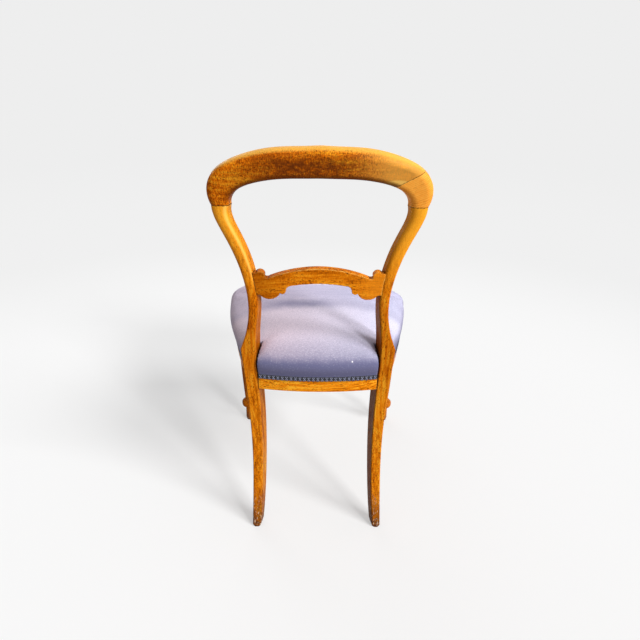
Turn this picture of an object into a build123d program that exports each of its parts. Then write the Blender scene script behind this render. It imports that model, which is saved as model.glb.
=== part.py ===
from build123d import *
from math import asin, atan2, cos, pi, radians, sin, tan
import os

os.makedirs("parts", exist_ok=True)

# Balloon-back dining chair in oak with a stuffed-over seat, made as its separate pieces.
# Millimetres, +Z up, the sitter faces -Y and the sitter's left is +X. The origin is on the
# floor, under the middle of the chair.

# ------------------------------------------------------------------ driving sizes
# side view of the back legs: how far the rear and front faces lie behind the origin
heel_rear = 260.0
heel_depth = 29.0
sabre_z = 125.0  # height at which these two hold
sabre_rear = 223.0
sabre_depth = 35.0
leg_rear = 186.0  # the straight stretch that takes the seat rails
leg_depth = 42.0
waist_rear = 194.0
waist_depth = 31.0
joint_rear = 233.5  # top of the stile, under the crest
joint_depth = 30.0
back_lean = 13.5  # degrees, of the crest

# front view of the back legs: half widths from the centre plane
heel_outer = 157.5
heel_inner = 133.5
sabre_outer = 154.5
sabre_outer_z = 175.0
sabre_inner = 125.0
leg_outer = 163.0
leg_inner = 126.5
ear_outer = 171.0  # sharp shoulder above the side rail
ear_inner = 131.0
waist_outer = 148.3
waist_inner = 121.8
inner_cant = 11.0  # degrees, the inner face closes in towards the front

# slopes of those lines, backwards or sideways for each millimetre up
heel_rear_slope = -0.33
heel_front_slope = -0.38
heel_outer_slope = -0.02
heel_inner_slope = -0.12
leg_outer_slope = 0.07
leg_inner_slope = 0.04
ear_outer_slope = -0.42
ear_inner_slope = -0.02
joint_outer_slope = 0.16

# how far the stile has opened out from waist to joint, and at which share of the height
flare_outer = 0.54
flare_outer_height = 0.62
flare_inner = 0.6
flare_inner_height = 0.65

# heights of the back
heel_wear = 6.0  # height of the worn edge of the heel
heel_loss = 1.6  # how far the wear cuts in
leg_square_z = 343.0  # the straight stretch runs from here up to the ear
ear_z = 457.0
waist_z = 572.0
joint_z = 775.5
leg_arris = 2.0
stile_front_radius = 4.0
stile_rear_radius = 13.5
stile_rounding = 0.8  # under 1, its rear corners are rounded early on the way up

# crest: its outer and inner outlines are superellipses
crest_half = 205.6
crest_spring = 797.0  # height of the widest place
crest_rise = 79.0
crest_power = 2.35
opening_half = 164.3
opening_spring = 768.0
opening_rise = 53.0
opening_power = 2.8
crest_depth = 28.0
crest_bow = 7.0  # the middle lies this far behind the corners
crest_top_radius = 15.0
crest_lower_radius = 11.0
crest_front_radius = 6.0
crest_steps = 6  # sections from a joint to the middle
scarf_inset = 41.6  # middle of the scarf joint, in from the widest place of the crest
scarf_rise = 31.5  # and above it
scarf_tilt = 28.5  # degrees from level
fillet_share = 0.92  # of a side of the wood that its two corner radii may take up

# dowels
glue_gap = 0.1
dowel_reach = 20.0  # into each piece
dowel_radius_share = 0.116  # of the width of the joint
dowel_pitch_share = 0.41

# cross rail of the back
cross_thickness = 14.0
cross_setback = 2.5  # its rear face lies inside the rear faces of the stiles
cross_bow = 5.0
cross_top = 650.0  # at the middle
cross_bottom = 617.0
cross_top_share = 0.25  # of its drop to the shoulder, halfway there
cross_shoulder_inset = 21.8  # sideways places are taken in from the waist of the stiles
cross_shoulder_z = 628.5  # where the top edge meets the ears
cross_ear_foot = (10.0, -0.5)  # beside the shoulder, sideways and up
cross_ear_hollow = (5.0, -2.0)
cross_ear_inset = 3.8
cross_ear_z = 642.0
cross_ear_end = (9.0, -4.0)
cross_arch_inset = 66.3  # ends of the lower arch
cross_arch_z = 611.5
cross_arch_sag = 1.4  # how far it hangs halfway to the middle
cross_hook = (12.0, -10.5)  # foot of the hook beside the arch
cross_hook_bulge = (8.5, -3.6)
cross_small_width = 12.5
cross_small_middle = 5.0
cross_small_lobe = 592.5
cross_crease = 1.0  # between the lobes, over the small one
cross_large_width = 42.0
cross_large_middle = 18.5
cross_large_lobe = 579.5
cross_end_z = 589.0
cross_sink = 22.0  # the blank runs this far into the stiles before it is cut to fit
cross_tenon_z = 613.5  # its middle
cross_tenon_height = 34.0
cross_tenon_thickness = 7.0
cross_tenon_setback = 2.5  # behind the rear face of the rail
cross_tenon_length = 22.0  # beyond the waist of the stiles
cross_tenon_root = 10.0  # how far it starts inside the rail

# seat frame
rail_bottom = 357.0
rail_height = 64.0
rail_thickness = 26.0
rear_rail_bow = 13.0
side_rail_bow = 9.0
front_rail_bow = 19.0
tenon_height = 38.0
tenon_thickness = 10.0
tenon_length = 18.0
tenon_root = 8.0  # how far a tenon starts inside its own rail
tenon_drop = 2.0  # under the middle of the rail
side_tenon_share = 0.62  # how far in it lies at the back, of the rail's thickness
beyond = 60.0  # cuts run this far past what they cut
cut_room = 5.0

# front legs
block_size = 44.0
block_x = 219.0
block_y = -211.8
block_corner = 44.0  # radius of the outer corner
block_bottom = 334.0
front_toe_radius = 10.5
front_foot_radius = 12.5
front_foot_z = 9.0
front_ankle_radius = 11.7
front_ball_radius = 23.0
front_ball_z = 62.0
front_ball_height = 24.0
front_ball_fillet = 3.0
front_knee_radius = 20.5
front_knee_z = 285.0
front_entasis = 1.5  # how far the taper swells
front_cove_depth = 6.5  # of the hollow above the knee
front_cove_height = 14.0
front_ring_height = 16.0
front_fillet_height = 4.0
turned_slope = 0.25  # rise of a bead's outline at its edge, for each millimetre outwards

# upholstery
cover_bottom = 386.0
cover_thickness = 2.0
skirt_height = 13.0
overhang = 8.7
seat_crown = 485.0
bulge_z = 427.5
cushion_side_power = 3.1
cushion_top_power = 1.8
cushion_low_steps = 2
cushion_top_steps = 7
cushion_top_end = 1.4  # radians, just short of the middle of the crown
fabric_gap = 0.3
leg_gap = 1.0  # between the upholstery and the back legs
webbing_width = 48.0
webbing_thickness = 1.5
webbing_edge = 5.0  # short of the outer face of the rails
webbing_column_fronts = (-160.0, -80.0, 0.0, 80.0, 160.0)
webbing_column_rears = (-96.0, -48.0, 0.0, 48.0, 96.0)
webbing_rows = (-165.0, -105.0, -45.0, 15.0, 75.0)
hessian_thickness = 1.0
hessian_edge = 3.0
gimp_width = 11.0
gimp_thickness = 1.8

# corner braces
brace_side = 80.0
brace_height = 30.0
brace_drop = 8.0
brace_gap = 0.3

# ------------------------------------------------------------------ worked out
rail_top = rail_bottom + rail_height
leg_front = leg_rear - leg_depth
cant = tan(radians(inner_cant))
lean_slope = tan(radians(back_lean))
block_half = block_size / 2
block_outer = block_x + block_half
block_inner = block_x - block_half
block_front = block_y - block_half
block_back = block_y + block_half
rail_middle_z = (rail_bottom + rail_top) / 2
side_rail_share = (rail_middle_z - leg_square_z) / (ear_z - leg_square_z)
side_rail_rear_x = leg_outer + (ear_outer - leg_outer) * side_rail_share  # flush at mid rail
front_rail_face = block_front - front_rail_bow
rear_rail_face = leg_rear + rear_rail_bow
rear_rail_half = leg_inner + leg_depth * cant
seat_middle = (rear_rail_face + front_rail_face) / 2
seat_half = block_outer
side_rail_middle = (leg_front + block_back) / 2
round_inset = 1 - cos(pi / 4)  # of a quarter circle's middle from its square corner
half_bow = 0.75  # of a bow that is left halfway to its end
webbing_top = rail_top + 2 * webbing_thickness
hessian_bottom = webbing_top
hessian_top = hessian_bottom + hessian_thickness


# ------------------------------------------------------------------ helpers
def at_height(outline, z):
    """Point at the height z on an outline that rises all the way."""
    low, high = 0.0, 1.0
    while high - low > 1e-7:
        middle = (low + high) / 2
        if (outline @ middle).Z < z:
            low = middle
        else:
            high = middle
    return outline @ low


def blend(start, end, share):
    """Value that lies the given share of the way from start to end."""
    return start + (end - start) * share


def superellipse(half_width, spring, rise, power, angle):
    """Point of a superellipse around the centre plane: sideways and up; angle in radians."""
    side = abs(cos(angle)) ** (2 / power)
    height = abs(sin(angle)) ** (2 / power)
    x = half_width * (side if cos(angle) > 0 else -side)
    return x, spring + rise * (height if sin(angle) > 0 else -height)


def angle_at(spring, rise, power, z):
    """Angle at which a superellipse reaches the height z."""
    share = (z - spring) / rise
    return asin(abs(share) ** (power / 2)) * (1 if share > 0 else -1)


def wood_section(plane, width, depth, radii):
    """Section of leg, stile or crest: x runs from the outer to the inner side, y to the front.

    The inner side is canted, so the rear face is narrower than the front. The radii are
    those of the rear outer, rear inner, front inner and front outer corners, as far as the
    wood is thick enough for them.
    """
    corners = ((0, 0), (width - depth * cant, 0), (width, depth), (0, depth))
    sides = (width - depth * cant, depth, width, depth)
    shares = [side / (radii[at] + radii[(at + 1) % 4]) for at, side in enumerate(sides)]
    radii = [radius * min(1, fillet_share * min(shares)) for radius in radii]
    with BuildSketch(plane) as section:
        with BuildLine():
            FilletPolyline(*corners, radius=radii, close=True)
        make_face()
    return section.sketch


def arris_section(plane, width, depth, cut):
    """The same section with small flats along its four corners."""
    with BuildSketch(plane) as section:
        with BuildLine():
            Polyline((0, 0), (width - depth * cant, 0), (width, depth), (0, depth), close=True)
        make_face()
        chamfer(section.vertices(), length=cut)
    return section.sketch


def leg_plane(outer, rear, z):
    """Level plane whose x runs inwards and whose y runs to the front."""
    return Plane(origin=(outer, rear, z), x_dir=(-1, 0, 0), z_dir=(0, 0, 1))


def blocks(places, length, width, height, gap=0.0):
    """Equal blocks centred on the given planes, larger by the gap on every side."""
    with BuildPart() as made:
        with Locations(*places):
            Box(length + 2 * gap, width + 2 * gap, height + 2 * gap)
    return made.part


def pins(places, radius, length, gap=0.0):
    """Equal round pins centred on the given planes and along their z, larger by the gap."""
    with BuildPart() as made:
        with Locations(*places):
            Cylinder(radius + gap, length + 2 * gap)
    return made.part


def save(piece, name):
    piece.part.label = name
    export_step(piece.part, f"parts/{name}.step")


# ------------------------------------------------------------------ joints of stiles and crest
crest_outline = (crest_half, crest_spring, crest_rise, crest_power)
opening_outline = (opening_half, opening_spring, opening_rise, opening_power)
crest_start = angle_at(crest_spring, crest_rise, crest_power, joint_z)
opening_start = angle_at(opening_spring, opening_rise, opening_power, joint_z)
joint_outer = superellipse(*crest_outline, crest_start)[0]
joint_inner = superellipse(*opening_outline, opening_start)[0]

# ------------------------------------------------------------------ outlines of the back legs
with BuildLine(Plane.YZ) as sabre_rear_line:
    Spline(
        (heel_rear, 0),
        (sabre_rear, sabre_z),
        (leg_rear, leg_square_z),
        tangents=((heel_rear_slope, 1), (0, 1)),
    )
with BuildLine(Plane.YZ) as sabre_front_line:
    Spline(
        (heel_rear - heel_depth, 0),
        (sabre_rear - sabre_depth, sabre_z),
        (leg_front, leg_square_z),
        tangents=((heel_front_slope, 1), (0, 1)),
    )
with BuildLine(Plane.XZ) as sabre_outer_line:
    Spline(
        (heel_outer, 0),
        (sabre_outer, sabre_outer_z),
        (leg_outer, leg_square_z),
        tangents=((heel_outer_slope, 1), (leg_outer_slope, 1)),
    )
with BuildLine(Plane.XZ) as sabre_inner_line:
    Spline(
        (heel_inner, 0),
        (sabre_inner, sabre_z),
        (leg_inner, leg_square_z),
        tangents=((heel_inner_slope, 1), (leg_inner_slope, 1)),
    )
with BuildLine(Plane.YZ) as stile_rear_line:
    Spline(
        (leg_rear, ear_z),
        (waist_rear, waist_z),
        (joint_rear, joint_z),
        tangents=((0, 1), (lean_slope, 1)),
    )
with BuildLine(Plane.YZ) as stile_front_line:
    Spline(
        (leg_front, ear_z),
        (waist_rear - waist_depth, waist_z),
        (joint_rear - joint_depth, joint_z),
        tangents=((0, 1), (lean_slope, 1)),
    )
with BuildLine(Plane.XZ) as stile_outer_line:
    Spline(
        (ear_outer, ear_z),
        (waist_outer, waist_z),
        (blend(waist_outer, joint_outer, flare_outer), blend(waist_z, joint_z, flare_outer_height)),
        (joint_outer, joint_z),
        tangents=((ear_outer_slope, 1), (joint_outer_slope, 1)),
    )
with BuildLine(Plane.XZ) as stile_inner_line:
    Spline(
        (ear_inner, ear_z),
        (waist_inner, waist_z),
        (blend(waist_inner, joint_inner, flare_inner), blend(waist_z, joint_z, flare_inner_height)),
        (joint_inner, joint_z),
        tangents=((ear_inner_slope, 1), (0, 1)),
    )


def leg_sizes(lines, z):
    """Plane, width and depth of a back leg at the height z, between its four outlines."""
    outer_line, inner_line, rear_line, front_line = [line.edge() for line in lines]
    outer = at_height(outer_line, z).X
    inner = at_height(inner_line, z).X
    rear = at_height(rear_line, z).Y
    front = at_height(front_line, z).Y
    return leg_plane(outer, rear, z), outer - inner, rear - front


sabre_lines = (sabre_outer_line, sabre_inner_line, sabre_rear_line, sabre_front_line)
stile_lines = (stile_outer_line, stile_inner_line, stile_rear_line, stile_front_line)

# ------------------------------------------------------------------ back leg before its joints are cut
sabre_steps = 5
sabre_shares = [step / sabre_steps for step in range(sabre_steps + 1)]
sabre_heights = [blend(heel_wear, leg_square_z, share) for share in sabre_shares]
stile_shares = (0.0, 0.12, 0.24, 0.38, 0.54, 0.7, 0.85, 1.0)

worn_heel = arris_section(
    leg_plane(heel_outer - heel_loss, heel_rear - heel_loss, 0),
    heel_outer - heel_inner - 2 * heel_loss,
    heel_depth - 2 * heel_loss,
    2 * leg_arris,
)
sabre_sections = [arris_section(*leg_sizes(sabre_lines, z), leg_arris) for z in sabre_heights]
ear_section = arris_section(*leg_sizes(stile_lines, ear_z), leg_arris)
stile_sections = []
for share in stile_shares:
    rear_radius = blend(leg_arris, stile_rear_radius, share**stile_rounding)
    front_radius = blend(leg_arris, stile_front_radius, share)
    radii = [rear_radius, rear_radius, front_radius, front_radius]
    place = leg_sizes(stile_lines, blend(ear_z, joint_z, share))
    stile_sections.append(wood_section(*place, radii))

with BuildPart() as leg_square:
    loft([sabre_sections[-1], ear_section], ruled=True)
with BuildPart() as stile:
    loft(stile_sections)
with BuildPart() as leg_blank:
    loft([worn_heel, sabre_sections[0]], ruled=True)
    loft(sabre_sections)
    add(leg_square.part)
    add(stile.part)


# ------------------------------------------------------------------ crest
def crest_rear_y(z):
    """Rear face of the crest before it is bowed."""
    return joint_rear + (z - joint_z) * lean_slope


def crest_section(step):
    """Section of the crest, set square to the arch; steps count from the left joint over the top."""
    part_way = step / crest_steps
    half = min(part_way, 2 - part_way)
    outer_angle = blend(crest_start, pi / 2, half)
    inner_angle = blend(opening_start, pi / 2, half)
    if part_way > 1:
        outer_angle = pi - outer_angle
        inner_angle = pi - inner_angle
    outer_x, outer_z = superellipse(*crest_outline, outer_angle)
    inner_x, inner_z = superellipse(*opening_outline, inner_angle)
    share = 1 - abs(cos(half * pi / 2))  # 0 at a joint, 1 in the middle
    middle_x = (outer_x + inner_x) / (joint_outer + joint_inner)
    bow = crest_bow * (1 - middle_x**2)
    outer = Vector(outer_x, crest_rear_y(outer_z) + bow, outer_z)
    inner = Vector(inner_x, crest_rear_y(inner_z) + bow, inner_z)
    inwards = (inner - outer).normalized()
    to_front = (Vector(0, -1, 0) - inwards * Vector(0, -1, 0).dot(inwards)).normalized()
    plane = Plane(origin=outer, x_dir=inwards, z_dir=inwards.cross(to_front))
    radii = [
        blend(stile_rear_radius, crest_top_radius, share),
        blend(stile_rear_radius, crest_lower_radius, share),
        blend(stile_front_radius, crest_front_radius, share),
        blend(stile_front_radius, crest_front_radius, share),
    ]
    return wood_section(plane, (inner - outer).length, blend(joint_depth, crest_depth, share), radii)


with BuildPart() as arch:
    loft([crest_section(step) for step in range(2 * crest_steps + 1)])

scarf_x = crest_half - scarf_inset
scarf_z = crest_spring + scarf_rise
scarf_y = crest_rear_y(scarf_z) - crest_depth / 2
scarf_plane = Plane(
    origin=(-scarf_x, scarf_y, scarf_z),
    x_dir=(cos(radians(scarf_tilt)), 0, -sin(radians(scarf_tilt))),
    z_dir=(sin(radians(scarf_tilt)), 0, cos(radians(scarf_tilt))),
)
joint_inner_middle = joint_inner + joint_depth / 2 * cant  # halfway from front to rear
joint_width = joint_outer - joint_inner_middle
joint_x = (joint_outer + joint_inner_middle) / 2
joint_y = joint_rear - joint_depth / 2
dowel_radius = joint_width * dowel_radius_share
dowel_pitch = joint_width * dowel_pitch_share

crest_dowel_planes = [
    Plane(
        origin=(side * joint_x + shift * dowel_pitch / 2, joint_y, joint_z),
        x_dir=(1, 0, 0),
        z_dir=(0, sin(radians(back_lean)), cos(radians(back_lean))),
    )
    for side in (-1, 1)
    for shift in (-1, 1)
]
crest_dowel_holes = pins(crest_dowel_planes, dowel_radius, 2 * dowel_reach, glue_gap)

with BuildPart() as crest_dowels:
    add(pins(crest_dowel_planes, dowel_radius, 2 * dowel_reach))
save(crest_dowels, "crest_dowels")

with BuildPart() as crest_rail:
    add(arch.part)
    split(bisect_by=scarf_plane, keep=Keep.TOP)
    add(crest_dowel_holes, mode=Mode.SUBTRACT)
save(crest_rail, "crest_rail")

with BuildPart() as crest_corner_block:
    add(arch.part)
    split(bisect_by=scarf_plane, keep=Keep.BOTTOM)
    add(crest_dowel_holes, mode=Mode.SUBTRACT)
save(crest_corner_block, "crest_corner_block")

# ------------------------------------------------------------------ cross rail of the back
cross_mid_z = (cross_top + cross_bottom) / 2
cross_point = at_height(stile_rear_line.edge(), cross_mid_z)
cross_low_point = at_height(stile_rear_line.edge(), cross_large_lobe)
cross_lean = atan2(cross_point.Y - cross_low_point.Y, cross_point.Z - cross_low_point.Z)
cross_rear = cross_point.Y - cross_setback
cross_plane = Plane(
    origin=(0, cross_rear, cross_mid_z),
    x_dir=(1, 0, 0),
    z_dir=(0, -cos(cross_lean), sin(cross_lean)),
)
cross_plan = Plane(origin=(0, cross_rear, cross_mid_z), x_dir=(1, 0, 0), z_dir=cross_plane.y_dir)
cross_reach = waist_inner + cross_sink
cross_room = 4 * cross_thickness


def cross_up(z):
    """Height above the middle of the cross rail."""
    return z - cross_mid_z


def outline_point(start, step):
    """Place on the outline that lies one step, sideways and up, from the start."""
    return start[0] + step[0], start[1] + step[1]


cross_tenon_x = waist_inner + (cross_tenon_length - cross_tenon_root) / 2
cross_tenon_depth = cross_tenon_setback + cross_tenon_thickness / 2
cross_tenon_planes = [
    Plane(
        origin=cross_plane.from_local_coords(
            Vector(side * cross_tenon_x, cross_up(cross_tenon_z), cross_tenon_depth)
        ),
        x_dir=(1, 0, 0),
        z_dir=cross_plane.z_dir,
    )
    for side in (-1, 1)
]
cross_tenon_size = (cross_tenon_length + cross_tenon_root, cross_tenon_height, cross_tenon_thickness)
cross_tenons = blocks(cross_tenon_planes, *cross_tenon_size)
cross_mortises = blocks(cross_tenon_planes, *cross_tenon_size, gap=glue_gap)

arch_middle = (0, cross_up(cross_bottom))
arch_end = (waist_inner - cross_arch_inset, cross_up(cross_arch_z))
hook_end = outline_point(arch_end, cross_hook)
crease = (hook_end[0] + cross_small_width, cross_up(cross_small_lobe) + cross_crease)
lobe_end = (crease[0] + cross_large_width, cross_up(cross_end_z))
shoulder = (waist_inner - cross_shoulder_inset, cross_up(cross_shoulder_z))
ear_foot = outline_point(shoulder, cross_ear_foot)
ear_top = (waist_inner - cross_ear_inset, cross_up(cross_ear_z))
ear_end = outline_point(ear_top, cross_ear_end)
top_middle = (0, cross_up(cross_top))

with BuildPart() as cross_rail:
    with BuildSketch(cross_plane):
        with BuildLine():
            ThreePointArc(arch_middle, (arch_end[0] / 2, arch_middle[1] - cross_arch_sag), arch_end)
            ThreePointArc(arch_end, outline_point(arch_end, cross_hook_bulge), hook_end)
            ThreePointArc(hook_end, (hook_end[0] + cross_small_middle, cross_up(cross_small_lobe)), crease)
            ThreePointArc(crease, (crease[0] + cross_large_middle, cross_up(cross_large_lobe)), lobe_end)
            Polyline(lobe_end, (cross_reach, lobe_end[1]), (cross_reach, ear_end[1]), ear_end)
            ThreePointArc(ear_end, ear_top, ear_foot)
            ThreePointArc(ear_foot, outline_point(shoulder, cross_ear_hollow), shoulder)
            ThreePointArc(
                shoulder,
                (shoulder[0] / 2, blend(top_middle[1], shoulder[1], cross_top_share)),
                top_middle,
            )
            mirror(about=Plane.YZ)
        make_face()
    extrude(amount=cross_room, both=True)
    with BuildSketch(cross_plan):
        with BuildLine():
            ThreePointArc((-cross_reach, 0), (0, cross_bow), (cross_reach, 0))
            Line((cross_reach, 0), (cross_reach, -cross_thickness))
            ThreePointArc(
                (cross_reach, -cross_thickness),
                (0, cross_bow - cross_thickness),
                (-cross_reach, -cross_thickness),
            )
            Line((-cross_reach, -cross_thickness), (-cross_reach, 0))
        make_face()
    extrude(amount=cross_room, both=True, mode=Mode.INTERSECT)
    add(stile.part, mode=Mode.SUBTRACT)
    add(mirror(stile.part, about=Plane.YZ), mode=Mode.SUBTRACT)
    add(cross_tenons)
save(cross_rail, "cross_rail")


# ------------------------------------------------------------------ seat plan
def seat_plan(z, grow=0.0, shrink=1.0):
    """Plan of the seat frame's outer faces at the height z.

    Each face moves outwards by grow, and then the whole shrinks about the middle of the seat.
    """
    rear = leg_rear + grow
    front = block_front - grow
    corner = block_corner * round_inset - grow * (1 - round_inset)
    side_rear = (side_rail_rear_x + grow, leg_front)
    side_front = (block_outer + grow, block_back)
    side_middle = ((side_rear[0] + side_front[0]) / 2 + side_rail_bow, side_rail_middle)
    points = [
        (0, rear + rear_rail_bow),
        (rear_rail_half / 2, rear + rear_rail_bow * half_bow),
        (rear_rail_half, rear),
        side_rear,
        side_middle,
        side_front,
        (block_outer - corner, block_front + corner),
        (block_inner, front),
        (block_inner / 2, front - front_rail_bow * half_bow),
        (0, front - front_rail_bow),
    ]
    points = [(x * shrink, blend(seat_middle, y, shrink)) for x, y in points]
    with BuildSketch(Plane.XY.offset(z)) as plan:
        with BuildLine():
            ThreePointArc(*points[0:3])
            Line(*points[2:4])
            ThreePointArc(*points[3:6])
            ThreePointArc(*points[5:8])
            ThreePointArc(*points[7:10])
            mirror(about=Plane.YZ)
        make_face()
    return plan.sketch


def leg_notches(gap, low, high):
    """Room for both back legs, in whatever lies round them."""
    front = leg_front - gap
    rear = leg_rear + beyond
    inner = leg_inner - gap
    with BuildPart() as notches:
        with BuildSketch(Plane.XY.offset(low)):
            with BuildLine():
                Polyline(
                    (inner, front),
                    (inner + (rear - front) * cant, rear),
                    (seat_half + beyond, rear),
                    (seat_half + beyond, front),
                    close=True,
                )
            make_face()
            mirror(about=Plane.YZ)
        extrude(amount=high - low)
    return notches.part


# ------------------------------------------------------------------ tenons of the seat rails
tenon_z = rail_middle_z - tenon_drop
tenon_shift = (tenon_length - tenon_root) / 2
tenon_size = (tenon_length + tenon_root, tenon_thickness, tenon_height)


def tenon_plane(x, y, along):
    return Plane(origin=(x, y, tenon_z), x_dir=along, z_dir=(0, 0, 1))


rear_tenon_y = leg_rear - rail_thickness / 2
rear_tenon_x = leg_inner + (rear_tenon_y - leg_front) * cant + tenon_shift
front_tenon_y = block_front + rail_thickness / 2
side_tenon_rear_x = side_rail_rear_x - rail_thickness * side_tenon_share
side_tenon_front_x = block_outer - rail_thickness / 2
rear_tenon_planes = [tenon_plane(side * rear_tenon_x, rear_tenon_y, (1, 0, 0)) for side in (-1, 1)]
front_tenon_planes = [
    tenon_plane(side * (block_inner + tenon_shift), front_tenon_y, (1, 0, 0)) for side in (-1, 1)
]
side_tenon_planes = [
    tenon_plane(side_tenon_rear_x, leg_front + tenon_shift, (0, 1, 0)),
    tenon_plane(side_tenon_front_x, block_back - tenon_shift, (0, 1, 0)),
]
mortises = [
    blocks(planes, *tenon_size, gap=glue_gap)
    for planes in (rear_tenon_planes, front_tenon_planes, side_tenon_planes)
]
rear_mortises, front_mortises, side_mortises = mortises

brace_top = rail_top - brace_drop
brace_bottom = brace_top - brace_height
front_corner = (block_outer - rail_thickness, block_front + rail_thickness)
rear_corner = (side_rail_rear_x - rail_thickness, leg_rear - rail_thickness)


# ------------------------------------------------------------------ seat rails
def frame_ring():
    """Band of the seat frame between its outer and inner faces, all the way round."""
    with BuildPart() as ring:
        with BuildSketch(Plane.XY.offset(rail_bottom)):
            add(seat_plan(0.0))
            add(seat_plan(0.0, -rail_thickness), mode=Mode.SUBTRACT)
        extrude(amount=rail_height)
    return ring.part


ring = frame_ring()
room = 2 * seat_half

with BuildPart() as rear_seat_rail:
    add(ring)
    with Locations((0, leg_rear, rail_middle_z)):
        Box(2 * side_rail_rear_x, beyond, rail_height, mode=Mode.INTERSECT)
    add(leg_square.part, mode=Mode.SUBTRACT)
    add(mirror(leg_square.part, about=Plane.YZ), mode=Mode.SUBTRACT)
    with Locations((0, leg_rear, rail_middle_z)):
        Box(2 * rear_rail_half, 4 * rail_thickness, rail_height, mode=Mode.INTERSECT)
    add(blocks(rear_tenon_planes, *tenon_size))
save(rear_seat_rail, "rear_seat_rail")

with BuildPart() as front_seat_rail:
    add(ring)
    with Locations((0, block_front, rail_middle_z)):
        Box(2 * block_inner, 4 * front_rail_bow, rail_height, mode=Mode.INTERSECT)
    add(blocks(front_tenon_planes, *tenon_size))
save(front_seat_rail, "front_seat_rail")

with BuildPart() as side_seat_rail_left:
    add(ring)
    with Locations((room / 2, side_rail_middle, rail_middle_z)):
        Box(room, leg_front - block_back, rail_height, mode=Mode.INTERSECT)
    add(blocks(side_tenon_planes, *tenon_size))
save(side_seat_rail_left, "side_seat_rail_left")

with BuildPart() as side_seat_rail_right:
    mirror(side_seat_rail_left.part, about=Plane.YZ)
save(side_seat_rail_right, "side_seat_rail_right")

# ------------------------------------------------------------------ back legs
with BuildPart() as rear_leg_left:
    add(leg_blank.part)
    add(crest_dowel_holes, mode=Mode.SUBTRACT)
    add(cross_mortises, mode=Mode.SUBTRACT)
    add(rear_mortises, mode=Mode.SUBTRACT)
    add(side_mortises, mode=Mode.SUBTRACT)
save(rear_leg_left, "rear_leg_left")

with BuildPart() as rear_leg_right:
    mirror(rear_leg_left.part, about=Plane.YZ)
save(rear_leg_right, "rear_leg_right")

# ------------------------------------------------------------------ front legs
leg_axis = Axis((block_x, block_y, 0), (0, 0, 1))
ball_low = front_ball_z - front_ball_height / 2
ball_high = front_ball_z + front_ball_height / 2

cove_radius = front_knee_radius - front_cove_depth
cove_z = front_knee_z + front_cove_height
ring_low = cove_z + front_fillet_height
ring_high = ring_low + front_ring_height
taper_middle = (front_ankle_radius + front_knee_radius) / 2 + front_entasis
taper_low = ball_high + front_ball_fillet
collar_radius = front_ankle_radius + front_ball_fillet
turning = (front_foot_radius, front_foot_z), (front_ankle_radius, ball_low - front_ball_fillet)

with BuildPart() as front_leg_left:
    with BuildSketch(Plane.XY.offset(block_bottom)):
        add(seat_plan(0.0))
        with Locations((block_x, block_y)):
            Rectangle(block_size, block_size, mode=Mode.INTERSECT)
    extrude(amount=rail_top - block_bottom)
    with BuildSketch(Plane(origin=(block_x, block_y, 0), x_dir=(1, 0, 0), z_dir=(0, -1, 0))):
        with BuildLine():
            Polyline((0, 0), (front_toe_radius, 0), *turning, (collar_radius, ball_low))
            Spline(
                (collar_radius, ball_low),
                (front_ball_radius, front_ball_z),
                (collar_radius, ball_high),
                tangents=((1, turned_slope), (-1, turned_slope)),
            )
            Line((collar_radius, ball_high), (front_ankle_radius, taper_low))
            Spline(
                (front_ankle_radius, taper_low),
                (taper_middle, (taper_low + front_knee_z) / 2),
                (front_knee_radius, front_knee_z),
            )
            Spline(
                (front_knee_radius, front_knee_z),
                (cove_radius, cove_z),
                tangents=((-1, turned_slope), (0, 1)),
            )
            Line((cove_radius, cove_z), (cove_radius, ring_low))
            Spline(
                (cove_radius, ring_low),
                (front_knee_radius, (ring_low + ring_high) / 2),
                (cove_radius, ring_high),
                tangents=((1, turned_slope), (-1, turned_slope)),
            )
            Polyline(
                (cove_radius, ring_high),
                (cove_radius, ring_high + front_fillet_height),
                (front_knee_radius, ring_high + 2 * front_fillet_height),
                (front_knee_radius, block_bottom),
                (0, block_bottom),
                (0, 0),
            )
        make_face()
    revolve(axis=leg_axis)
    add(front_mortises, mode=Mode.SUBTRACT)
    add(side_mortises, mode=Mode.SUBTRACT)
save(front_leg_left, "front_leg_left")

with BuildPart() as front_leg_right:
    mirror(front_leg_left.part, about=Plane.YZ)
save(front_leg_right, "front_leg_right")


# ------------------------------------------------------------------ corner braces
def brace(corner, back):
    """Left brace in a corner of the frame; back is -1 in front, where it points forwards, else 1."""
    x, y = corner
    with BuildPart() as made:
        with BuildSketch(Plane.XY.offset(brace_bottom)):
            with BuildLine():
                Polyline(
                    (x - brace_side, y),
                    (x - brace_side, y + back * rail_thickness * 2),
                    (x + rail_thickness * 2, y + back * rail_thickness * 2),
                    (x + rail_thickness * 2, y - back * brace_side),
                    (x, y - back * brace_side),
                    close=True,
                )
            make_face()
            add(seat_plan(0.0, -rail_thickness - brace_gap), mode=Mode.INTERSECT)
            with Locations((block_x, block_y)):
                Rectangle(block_size + 2 * brace_gap, block_size + 2 * brace_gap, mode=Mode.SUBTRACT)
        extrude(amount=brace_height)
        add(leg_notches(brace_gap, brace_bottom, brace_top), mode=Mode.SUBTRACT)
    return made.part


for place, corner, back in (("front", front_corner, -1), ("rear", rear_corner, 1)):
    with BuildPart() as corner_brace_left:
        add(brace(corner, back))
    save(corner_brace_left, f"corner_brace_{place}_left")
    with BuildPart() as corner_brace_right:
        mirror(corner_brace_left.part, about=Plane.YZ)
    save(corner_brace_right, f"corner_brace_{place}_right")

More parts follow.
